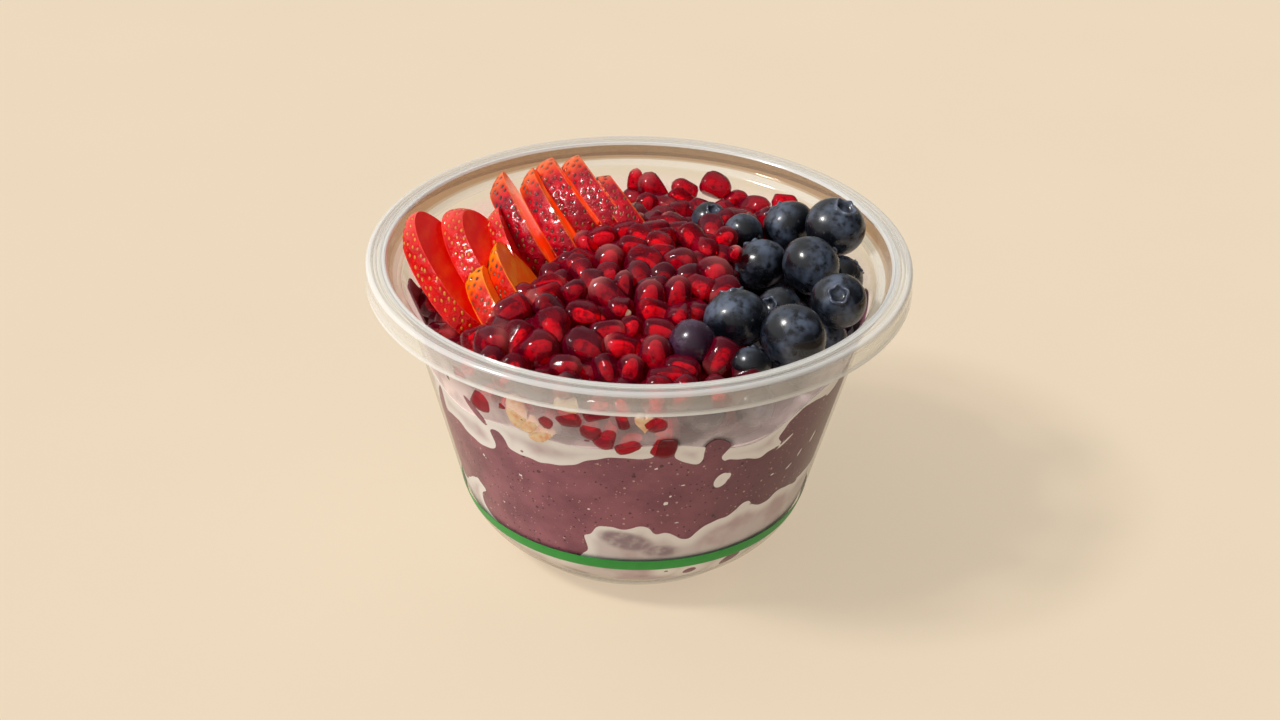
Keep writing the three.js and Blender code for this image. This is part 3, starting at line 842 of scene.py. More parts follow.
@dataclass
class ClearBowl:
    """The clear bowl with its ridged rim, and the green stripe printed round it."""

    form: BowlForm = field(default_factory=BowlForm)
    segments: int = 192
    rim_from: float = 81.2
    collar_from: float = 82.2
    collar_reach: float = 70.2
    lip_width: float = 0.9
    lip_top: float = 0.7
    lip_bottom: float = 5.9
    fold_width: float = 0.35
    stripe: tuple[float, float] = (14.6, 18.4)
    stripe_rows: int = 9
    ink: float = 0.05

    def shell(self) -> bpy.types.Object:
        """Builds the bowl's thin shell."""
        path = self.form.sheet_path()
        outside = offset_path(path, -self.form.sheet / 2)
        inside = offset_path(path, self.form.sheet / 2)
        points, faces = lathed([*outside, *reversed(inside)], self.segments)
        reach = np.hypot(points[:, 0], points[:, 1])
        slots = [int(self.zone(reach[list(face)], points[list(face), 2])) for face in faces]
        finishes = {
            Zone.WALL: ClearPlastic(),
            Zone.RIM: ClearPlastic(
                "rim_plastic", srgb(250, 250, 248), srgb(236, 235, 232), milk=0.18, edge_milk=0.4,
                shine=0.9, roughness=0.05, mirror=0.03,
            ),
            Zone.COLLAR: ClearPlastic(
                "collar_plastic", srgb(222, 208, 192), srgb(212, 198, 180), milk=0.05, edge_milk=0.1,
                shine=0.7,
            ),
            # On the sharp bends the strong milky white is painted highlight; their gloss comes from the
            # lamps.
            Zone.BEND: ClearPlastic("bent_plastic", milk=0.5, edge_milk=0.3, shine=0.9, mirror=0.05),
        }
        materials = [finishes[zone].material() for zone in Zone]
        return make_piece("bowl_shell", points, faces, materials, slots, sharp_over=SHARP_PLASTIC)

    def zone(self, reach: np.ndarray, heights: np.ndarray) -> Zone:
        """Tells which part of the shell a face with corners at these radii and heights is on."""
        if any(self.bent(float(radius), float(height)) for radius, height in zip(reach, heights)):
            return Zone.BEND
        if heights.min() > self.collar_from and reach.max() < self.collar_reach:
            return Zone.COLLAR
        return Zone.RIM if heights.max() > self.rim_from else Zone.WALL

    def bent(self, radius: float, height: float) -> bool:
        """Tells whether a place of the rim is one of its sharp bends, which catch the light."""
        out = self.form.rim_radius
        high = self.form.height
        at_lip = height > high - self.lip_top or height < high - self.lip_bottom
        at_fold = abs(radius - (out - self.form.land_width - 0.2)) < self.fold_width
        return (radius > out - self.lip_width and at_lip) or (at_fold and height > high - self.lip_width)

    def printed_ring(self) -> bpy.types.Object:
        """Builds the printed stripe as a very thin ring on the outside of the wall."""
        heights = np.linspace(*self.stripe, self.stripe_rows)
        face = [(float(self.form.inner_radius(z, -self.form.sheet - self.ink)), float(z)) for z in heights]
        back = [(float(self.form.inner_radius(z, -self.form.sheet + self.ink)), float(z)) for z in heights]
        loop = np.asarray([*face, *reversed(back)])
        rings = ovals(loop[:, 0], loop[:, 1], round_steps(self.segments))
        faces = []
        for i in range(len(loop)):
            row = i * self.segments
            next_row = (i + 1) % len(loop) * self.segments
            for j in range(self.segments):
                k = (j + 1) % self.segments
                faces.append((row + j, row + k, next_row + k, next_row + j))
        ink = StripeInk().material()
        return make_piece("green_stripe", rings.reshape(-1, 3), faces, [ink], sharp_over=SHARP_PLASTIC)

    def fit(self) -> None:
        """Builds the shell and the stripe and puts them in place of the bowl's node."""
        fix_to_bowl(self.shell(), "clear_bowl", "bowl")
        fix_to_bowl(self.printed_ring(), "clear_bowl")


@dataclass(frozen=True)
class LayerSurface:
    """A surface between layers: its height at the middle and at the wall, in millimetres."""

    middle: float
    wall: tuple[float, ...]
    rise_starts: float = 0.6

    def height(self, x: Any, y: Any) -> Any:
        """Returns the height over a plan place."""
        share = np.hypot(x, y) / FORM.wall_top[0]
        at_wall = round_value(self.wall, np.arctan2(x, -y))
        return self.middle + (at_wall - self.middle) * smoothstep(share, self.rise_starts, 1)


LOWER_SURFACE = LayerSurface(16, (23, 20, 24, 25, 22, 20, 22, 26, 25, 22, 25, 9))
UPPER_SURFACE = LayerSurface(50, (57, 52, 63, 62, 58, 56, 57, 60, 60, 56, 50, 54))
TOP_SURFACE = LayerSurface(57, (62, 59, 66, 65, 61, 60, 62, 64, 64, 61, 59, 60))


@dataclass(frozen=True)
class PhotoCamera:
    """The photograph's camera, and the frame of a close-up of it that places are read from."""

    width: int = 1280
    height: int = 720
    focal: float = 2198.0
    distance: float = 650.35
    elevation: float = 34.87
    pitch: float = 30.93
    yaw: float = 0.09
    roll: float = 1.47
    sensor: float = 36.0
    close_up_left: float = 360.0
    close_up_top: float = 130.0
    close_up_scale: float = 2.8

    @property
    def place(self) -> Vector:
        """Returns the camera's place in millimetres."""
        rise = math.radians(self.elevation)
        return Vector((0, -math.cos(rise) * self.distance, math.sin(rise) * self.distance))

    @property
    def turn(self) -> Matrix:
        """Returns the camera's rotation."""
        pitch = Matrix.Rotation(math.radians(90 - self.pitch), 3, "X")
        yaw = Matrix.Rotation(-math.radians(self.yaw), 3, "Z")
        return yaw @ pitch @ Matrix.Rotation(math.radians(self.roll), 3, "Z")

    def ray(self, across: float, down: float) -> Vector:
        """Returns the way from the camera through a pixel of the photograph."""
        u = across - self.width / 2
        v = down - self.height / 2
        return (self.turn @ Vector((u / self.focal, -v / self.focal, -1))).normalized()

    def from_close_up(self, across: float, down: float) -> tuple[float, float]:
        """Turns a place in the close-up into a pixel of the photograph."""
        return (
            self.close_up_left + across / self.close_up_scale,
            self.close_up_top + down / self.close_up_scale,
        )

    def on_wall(self, across: float, down: float) -> tuple[float, float]:
        """Returns the angle in degrees and the height of the wall's place behind a pixel."""
        place = self.meet(across, down, lambda p: math.hypot(p.x, p.y) > float(FORM.inner_radius(p.z, 0)))
        return math.degrees(math.atan2(place.x, -place.y)), place.z

    def beside_wall(self, across: float, down: float, inset: float) -> Vector:
        """Returns the place behind a pixel for what lies this far inside the plastic."""
        return self.meet(
            across, down,
            lambda p: p.z > FORM.wall_top[1]
            or math.hypot(p.x, p.y) > float(FORM.inner_radius(p.z, inset)),
        )

    def meet(self, across: float, down: float, outside: Callable[[Vector], bool]) -> Vector:
        """Follows the ray through a pixel until it is no longer outside.

        Args:
            across: Pixels from the photograph's left.
            down: Pixels from its top.
            outside: Tells whether a place is still outside what the ray should meet.

        Returns:
            The place that it meets, in millimetres.
        """
        ray = self.ray(across, down)
        near, far = 480.0, 480.0
        while outside(self.place + ray * far) and far < 900:
            near = far
            far += 2.0
        for _ in range(12):
            middle = (near + far) / 2
            near, far = (middle, far) if outside(self.place + ray * middle) else (near, middle)
        return self.place + ray * far

    def make(self) -> None:
        """Makes the scene's camera."""
        data = bpy.data.cameras.new("photo_camera")
        data.sensor_width = self.sensor
        data.lens = self.focal / self.width * self.sensor
        data.clip_start = 0.01
        camera = bpy.data.objects.new("photo_camera", data)
        camera.matrix_world = Matrix.Translation(self.place * MM) @ self.turn.to_4x4()
        bpy.context.scene.collection.objects.link(camera)
        bpy.context.scene.camera = camera


CAMERA = PhotoCamera()


Pixels = tuple[tuple[float, float], ...]
Edge = tuple[tuple[float, float], ...]

# Where one layer meets the next on the wall: photograph pixels in front, and past the sides
# of the picture degrees from -Y towards +X and heights
UPPER_SEEN: Pixels = (
    (437, 396), (442, 403), (448, 409), (459, 420), (467, 430), (477, 440), (486, 446), (495, 448.5),
    (496, 444), (493, 437), (490.5, 430), (496, 430.5), (501, 433.5), (505.5, 440), (509.5, 447.5),
    (518, 453), (529.5, 457.5), (543.5, 463), (558, 464.6), (574.5, 464.2), (586, 461), (600, 458.7),
    (617, 457.6), (634, 458.2), (650, 458.6), (655, 455), (657, 448.5), (661.5, 441), (669, 440),
    (676, 441.5), (677.5, 447.5), (674.5, 456.5), (680, 460.3), (691.5, 463.8), (698.6, 463),
    (703, 458.5), (704.5, 451.5), (707.5, 444.5), (715.5, 440.3), (725.5, 440.8), (731.5, 444.6),
    (727, 450.5), (721.5, 457), (724.5, 460.6), (730, 459.2), (749.5, 458.2), (760.5, 457),
    (767.7, 451.7), (777.5, 446), (781, 442.5), (778.5, 438), (784.5, 429), (790.3, 420.6),
    (800.2, 410.8), (811.5, 402.3), (825, 395), (832.5, 388),
)
UPPER_LEFT: Edge = (
    (-180, 57), (-165, 59), (-150, 60.5), (-135, 60), (-124, 58), (-114, 60), (-104, 66), (-96, 70),
    (-88, 71),
)
UPPER_RIGHT: Edge = (
    (88, 75), (98, 72), (110, 65), (124, 60), (138, 57), (150, 55.5), (165, 55), (180, 57),
)
LOWER_SEEN: Pixels = (
    (466, 474), (470, 476.5), (476.8, 476.5), (480.5, 481), (486.5, 490), (483, 492), (484, 499),
    (486.6, 505), (490.2, 511.2), (495, 517.5), (503, 527), (514, 536), (526, 543.5), (540, 551),
    (553, 556.5), (566, 560), (577, 559), (583, 553.5), (588, 549), (586, 541), (584.5, 535),
    (591, 533), (596, 527), (601.5, 525.4), (611, 527), (620.5, 529), (630, 529), (640, 526.3),
    (648.5, 528), (654.6, 533.2), (664.4, 532.7), (674, 535.3), (681.4, 538.8), (688.8, 538),
    (696, 532), (706, 524.6), (715.5, 519.8), (725.3, 517), (735, 510), (742.3, 502.8), (748.4, 500.4),
    (752, 504), (759.4, 503.5), (766.7, 500.3), (774, 493), (781.3, 487.5), (788.5, 484.5), (795, 481),
    (800, 474),
)
LOWER_LEFT: Edge = ((-180, 22), (-160, 24.5), (-140, 26.5), (-120, 25), (-104, 24.5), (-92, 27))
LOWER_RIGHT: Edge = ((92, 29), (106, 26.5), (124, 22), (146, 20), (164, 21), (180, 22))


def whole_edge(left: Edge, seen: Pixels, right: Edge) -> Edge:
    """Joins the seen part of an edge with the parts past the sides of the picture."""
    return (*left, *(CAMERA.on_wall(*pixel) for pixel in seen), *right)


@dataclass(frozen=True)
class WallSpot:
    """An oval patch on the wall: its middle in the photograph, its half width and half height in
    millimetres, and its turn."""

    across: float
    down: float
    wide: float
    high: float
    turn: float = 0.0

    def inside(self, along: np.ndarray, z: np.ndarray) -> np.ndarray:
        """Returns a value above 0 inside the patch, about in millimetres.

        Args:
            along: Distance round the wall from -Y at each place.
            z: Height of each place.

        Returns:
            The value at each place.
        """
        angle, middle = CAMERA.on_wall(self.across, self.down)
        right = along - math.radians(angle) * WALL_SCALE
        above = z - middle
        turn = math.radians(self.turn)
        first = (right * math.cos(turn) + above * math.sin(turn)) / self.wide
        second = (above * math.cos(turn) - right * math.sin(turn)) / self.high
        return (1 - np.hypot(first, second)) * min(self.wide, self.high)


WALL_SCALE = 58.0
CREAM_SPOTS = (
    WallSpot(721, 480, 2.0, 2.7, -25),
    WallSpot(725.5, 477.5, 1.2, 1.9, -40),
    WallSpot(665.6, 503.4, 0.8, 0.65, 20),
    WallSpot(676.6, 522, 0.9, 0.4),
    WallSpot(670.5, 496.5, 0.5, 0.45),
    WallSpot(785, 441, 3.4, 0.5, 32),
    WallSpot(799, 452, 0.4, 1.5, -30),
    WallSpot(788, 466, 1.6, 0.35, 28),
    WallSpot(812, 436, 0.5, 2.0, -30),
    WallSpot(772, 474, 0.8, 0.35, 10),
    WallSpot(658, 468, 0.5, 0.35),
    WallSpot(683, 485, 0.7, 0.3),
    WallSpot(484.5, 455, 1.2, 0.4, -50),
    WallSpot(520.7, 474.6, 0.7, 0.5, -30),
    WallSpot(505, 502, 0.6, 0.4, -30),
    WallSpot(589, 509, 0.6, 0.35, -20),
    WallSpot(656, 469, 0.5, 0.3),
)
ACAI_SPOTS = (
    WallSpot(475.5, 411, 5.0, 1.2, -42),
    WallSpot(464, 380, 1.0, 0.9),
    WallSpot(729, 557.5, 3.8, 2.9, 25),
    WallSpot(666, 571, 0.8, 0.5),
    WallSpot(522, 451, 0.6, 0.45, -20),
    WallSpot(587, 441, 0.8, 0.45, -15),
    WallSpot(579, 440.5, 0.5, 0.35),
    WallSpot(689, 570, 2.4, 1.6, 10),
)
STAIN_SPOTS = (
    WallSpot(626, 541, 10.5, 4.2, -14),
    WallSpot(660, 551, 8.0, 3.0, -6),
    WallSpot(580, 571, 9.0, 2.2, -8),
    WallSpot(640, 576, 4.0, 1.6),
    WallSpot(762, 548, 4.0, 2.0, 20),
)


def edge_line(corners: Sequence[tuple[float, float]], wander: float, seed: int) -> np.ndarray:
    """Smooths a line of places on the wall and lets it wander a little.

    Args:
        corners: Degrees and height of each place.
        wander: How far it may stray, in millimetres.
        seed: The seed of the straying.

    Returns:
        Rows of distance round the wall and height.
    """
    corner = np.asarray(corners, float)
    count = len(corner)
    line = []
    for i in range(count - 1):
        a, b, c, d = (corner[min(max(k, 0), count - 1)] for k in (i - 1, i, i + 1, i + 2))
        for t in np.linspace(0, 1, 7)[:-1]:
            line.append(0.5 * (2 * b + (c - a) * t + (2 * a - 5 * b + 4 * c - d) * t * t
                               + (3 * b - a - 3 * c + d) * t ** 3))
    line.append(corner[-1])
    result = np.asarray(line)
    result[:, 0] = np.radians(result[:, 0]) * WALL_SCALE
    draw = np.random.default_rng(seed)
    for waves in (23, 41, 67):
        phase = draw.random() * ROUGH_TURN
        result[:, 1] += wander / 3 * np.sin(result[:, 0] / WALL_SCALE * waves + phase)
    return result


def above_line(line: np.ndarray, along: np.ndarray, z: np.ndarray) -> np.ndarray:
    """Measures how far places on the wall lie above a line, below 0 where they lie under it.

    Args:
        line: Rows of distance round the wall and height.
        along: Distance round the wall of each place.
        z: Height of each place.

    Returns:
        The signed distance of each place.
    """
    flat_x, flat_z = along.ravel(), z.ravel()
    nearest = np.full(flat_x.shape, 1e9)
    crossings = np.zeros(flat_x.shape, int)
    for (x0, z0), (x1, z1) in zip(line[:-1], line[1:]):
        span = (x1 - x0) ** 2 + (z1 - z0) ** 2
        share = np.clip(((flat_x - x0) * (x1 - x0) + (flat_z - z0) * (z1 - z0)) / span, 0, 1)
        away = np.hypot(flat_x - x0 - share * (x1 - x0), flat_z - z0 - share * (z1 - z0))
        nearest = np.minimum(nearest, away)
        if x0 != x1:
            spans = (np.minimum(x0, x1) <= flat_x) & (flat_x < np.maximum(x0, x1))
            height = z0 + (flat_x - x0) / (x1 - x0) * (z1 - z0)
            crossings += spans & (height > flat_z)
    return np.where(crossings % 2 == 0, nearest, -nearest).reshape(along.shape)


@dataclass
class WallPicture:
    """The inside of the wall, on which each layer shows its own patches."""

    sectors: int = 540
    rows: int = 96
    top: float = 76.0
    skin: float = 0.5
    into_wall: float = 0.12

    def __post_init__(self) -> None:
        """Lays out the places on the wall and how far each lies inside each layer."""
        low = FORM.floor_height(0.6)
        self.angles = np.linspace(-math.pi, math.pi, self.sectors + 1)
        self.heights = np.linspace(low, self.top, self.rows + 1)
        angle, z = np.meshgrid(self.angles, self.heights, indexing="ij")
        along = angle * WALL_SCALE
        upper = above_line(edge_line(whole_edge(UPPER_LEFT, UPPER_SEEN, UPPER_RIGHT), 0.3, 5), along, z)
        lower = above_line(edge_line(whole_edge(LOWER_LEFT, LOWER_SEEN, LOWER_RIGHT), 0.3, 8), along, z)
        cream = np.max([spot.inside(along, z) for spot in CREAM_SPOTS], axis=0)
        acai = np.max([spot.inside(along, z) for spot in ACAI_SPOTS], axis=0)
        for values in (upper, lower, cream, acai):
            values[-1] = values[0]
        white = np.maximum(np.maximum(upper, -lower), cream)
        white = np.minimum(white, -acai)
        top = round_value(TOP_SURFACE.wall, angle) + 1.2 * np.sin(angle * 9) - z
        middle = (UPPER_SURFACE.middle + LOWER_SURFACE.middle) / 2
        self.values = {
            "acai_blend": -white,
            "yoghurt_upper": np.minimum(np.minimum(white, top), z - middle),
            "yoghurt_lower": np.minimum(white, middle - z),
        }
        self.white_above = np.maximum(upper, 0)

    def patch(self, layer: str) -> tuple[np.ndarray, Faces, np.ndarray, np.ndarray]:
        """Cuts a layer's patches out of the wall, as a skin with a thickness.

        Args:
            layer: The layer's node name.

        Returns:
            The points, the faces, each point's distance from the patch's edge and its stain.
        """
        values = self.values[layer]
        columns = self.rows + 1
        whole = self.sectors * columns
        keys: dict[tuple[int, int], int] = {}
        spots: list[tuple[float, float, float]] = []
        faces: Faces = []

        def place(a: int, b: int) -> int:
            """Returns the point on the way from one grid place to another where the patch ends."""
            key = (min(a % whole, b % whole), max(a % whole, b % whole))
            if key not in keys:
                i, j = divmod(a, columns)
                k, m = divmod(b, columns)
                first, second = values[i, j], values[k, m]
                share = 0.0 if a == b else first / (first - second)
                angle = self.angles[i] + (self.angles[k] - self.angles[i]) * share
                height = self.heights[j] + (self.heights[m] - self.heights[j]) * share
                spots.append((angle, height, first if a == b else 0.0))
                keys[key] = len(spots) - 1
            return keys[key]

        inside = values > 0
        for i in range(self.sectors):
            for j in range(self.rows):
                cell = (inside[i, j], inside[i + 1, j], inside[i + 1, j + 1], inside[i, j + 1])
                if not any(cell):
                    continue
                here, beside = i * columns + j, (i + 1) * columns + j
                corners = (here, beside, beside + 1, here + 1)
                if all(cell):
                    faces.append(tuple(place(c, c) for c in corners))
                    continue
                for trio in ((0, 1, 2), (0, 2, 3)):
                    outline = []
                    for a, b in zip(trio, (*trio[1:], trio[0])):
                        if cell[a]:
                            outline.append(place(corners[a], corners[a]))
                        if cell[a] != cell[b]:
                            outline.append(place(corners[a], corners[b]))
                    if len(outline) > 2:
                        faces.append(tuple(outline))
        spot = np.asarray(spots)
        outer = self.on_wall(spot[:, 0], spot[:, 1], -self.into_wall)
        inner = self.on_wall(spot[:, 0], spot[:, 1], self.skin)
        along = spot[:, 0] * WALL_SCALE
        stain = np.max([smoothstep(mark.inside(along, spot[:, 1]), 0, 1.8) for mark in STAIN_SPOTS], axis=0)
        points, faces = self.thicken(outer, inner, faces)
        return points, faces, np.tile(spot[:, 2], 2), np.tile(stain, 2)

    def on_wall(self, angle: np.ndarray, z: np.ndarray, clearance: float) -> np.ndarray:
        """Returns the places at angles and heights on the inside of the wall."""
        radius = FORM.inner_radius(z, clearance)
        return np.column_stack([radius * np.sin(angle), -radius * np.cos(angle), z])

    def thicken(self, outer: np.ndarray, inner: np.ndarray, faces: Faces) -> tuple[np.ndarray, Faces]:
        """Closes a patch with a back and with sides along its open edges."""
        count = len(outer)
        sides: dict[tuple[int, int], None] = {}
        for face in faces:
            for a, b in zip(face, (*face[1:], face[0])):
                if (b, a) in sides:
                    del sides[(b, a)]
                else:
                    sides[(a, b)] = None
        back = [tuple(count + k for k in reversed(face)) for face in faces]
        edges = [(b, a, count + a, count + b) for a, b in sides]
        return np.vstack([outer, inner]), [*faces, *back, *edges]


@dataclass
class Layer:
    """One layer of the filling: the solid between two surfaces, and its patches on the wall."""

    node: str
    slot: str
    finish: Finish
    bottom: Callable[[Any, Any], Any]
    top: Callable[[Any, Any], Any]
    clearance: float = 0.15
    sectors: int = 120

    def body(self) -> tuple[np.ndarray, Faces]:
        """Builds the closed solid between the two surfaces, just inside the wall."""
        shares = np.linspace(0.08, 1, 13)[:-1]
        climb = np.linspace(0, 1, 11)
        columns = []
        for angle in round_steps(self.sectors):
            right, back = math.sin(angle), -math.cos(angle)
            ends = []
            spans = []
            for surface in (self.bottom, self.top):
                radius = 50.0
                for _ in range(12):
                    height = float(surface(radius * right, radius * back))
                    radius = float(FORM.inner_radius(height, self.clearance))
                ends.append(height)
                spans.append([(r, float(surface(r * right, r * back))) for r in shares * radius])
            low, high = ends
            wall_z = low + (high - low) * climb
            wall_r = FORM.inner_radius(wall_z, self.clearance)
            outline = [*spans[0], *zip(wall_r, wall_z), *reversed(spans[1])]
            columns.append([(r * right, r * back, z) for r, z in outline])
        grid = np.asarray(columns).transpose(1, 0, 2)
        first = [0, 0, float(self.bottom(0.0, 0.0))]
        last = [0, 0, float(self.top(0.0, 0.0))]
        return tube(first, grid, last)

    def fit(self, wall: WallPicture) -> None:
        """Builds the layer and puts it in place of its node."""
        points, faces = self.body()
        patch, patch_faces, depth, stain = wall.patch(self.node)
        count = len(points)
        faces = [*faces, *(tuple(count + k for k in face) for face in patch_faces)]
        inward = np.concatenate([np.full(count, 6.0), depth])
        piece = make_piece(
            self.node + "_layer", np.vstack([points, patch]), faces, [self.finish.material()],
            marks={"inward": inward, "stain": np.concatenate([np.zeros(count), stain])}, sharp_over=60,
        )
        fix_to_bowl(piece, self.slot, self.node)


@dataclass
class CreamFilm:
    """The see-through smear of yoghurt that the fruit left on the wall."""

    cover: tuple[float, ...] = (0.32, 0.42, 0.5, 0.6, 0.7, 0.75, 0.75, 0.8, 0.9, 0.95, 0.9, 0.52)
    top: float = 80.4
    fade: float = 16.0

    def fit(self, wall: WallPicture) -> None:
        """Builds the film from the layers up to just under the rim."""
        rows = np.linspace(48, self.top, 40)
        angle, z = np.meshgrid(wall.angles[:-1], rows, indexing="ij")
        radius = FORM.inner_radius(z, 0.05)
        points = np.stack([radius * np.sin(angle), -radius * np.cos(angle), z], axis=-1)
        count, high = angle.shape
        faces = []
        for i in range(count):
            row = i * high
            next_row = (i + 1) % count * high
            for j in range(high - 1):
                faces.append((row + j, next_row + j, next_row + j + 1, row + j + 1))
        edge = np.stack([np.interp(rows, wall.heights, column) for column in wall.white_above[:-1]])
        strength = round_value(self.cover, angle)
        top = round_value(TOP_SURFACE.wall, angle)
        fading = 1 - smoothstep(z - top, 0, self.fade)
        cover = np.clip(strength * (0.4 + 0.6 * fading) * smoothstep(edge, 0.0, 1.5), 0, 1)
        cover *= 1 - smoothstep(z, self.top - 4, self.top)
        piece = make_piece(
            "cream_film", points.reshape(-1, 3), faces, [CreamFilmFinish().material()],
            marks={"cover": cover.ravel()},
        )
        fix_to_bowl(piece, "yoghurt")


@dataclass(frozen=True)
class SliceCut:
    """A strawberry slice: its upper edge from tip to stalk, the way its cut side looks, how far
    it lies from its strawberry's middle in half slices, and the strawberry's size."""

    tip: Place
    end: Place
    face: Place
    place: int
    length: float
    radius: float
    tone: Tone


SLICES = (
    SliceCut((-43, 3, 86), (-27, -27, 73), (0.6, 0.25, 0.75), 1, 34, 11, Tone.ORANGE),
    SliceCut((-47, -3, 83), (-34, -28, 72), (0.6, 0.25, 0.75), 0, 34, 11, Tone.ORANGE),
    SliceCut((-66.5, 14, 90), (-47.5, -25, 73), (0.65, -0.1, 0.75), 0, 43, 12.5, Tone.RED),
    SliceCut((-55, 19, 91), (-38, -17, 74), (0.65, -0.1, 0.75), -1, 42, 13, Tone.RED),
    SliceCut((-44, 41, 90), (-30, 11, 78), (0.84, 0.18, 0.52), 1, 38, 13, Tone.CRIMSON),
    SliceCut((-35.5, 42, 91), (-20, 11, 79), (0.84, 0.18, 0.52), 1, 39, 13.5, Tone.CRIMSON),
    SliceCut((-30.5, 50, 91), (-14, 22, 80), (0.84, 0.18, 0.52), 0, 35, 13.5, Tone.CRIMSON),
    SliceCut((-23, 52, 91), (-6, 24, 81), (0.84, 0.18, 0.52), 0, 36, 13.5, Tone.CRIMSON),
    SliceCut((-14.5, 46, 89), (0.5, 22, 80), (0.84, 0.18, 0.52), -1, 30, 13, Tone.CRIMSON),
    SliceCut((-44, 25, 87), (-33, -5, 75), (0.8, 0.25, 0.5), 1, 33, 12, Tone.RED),
)


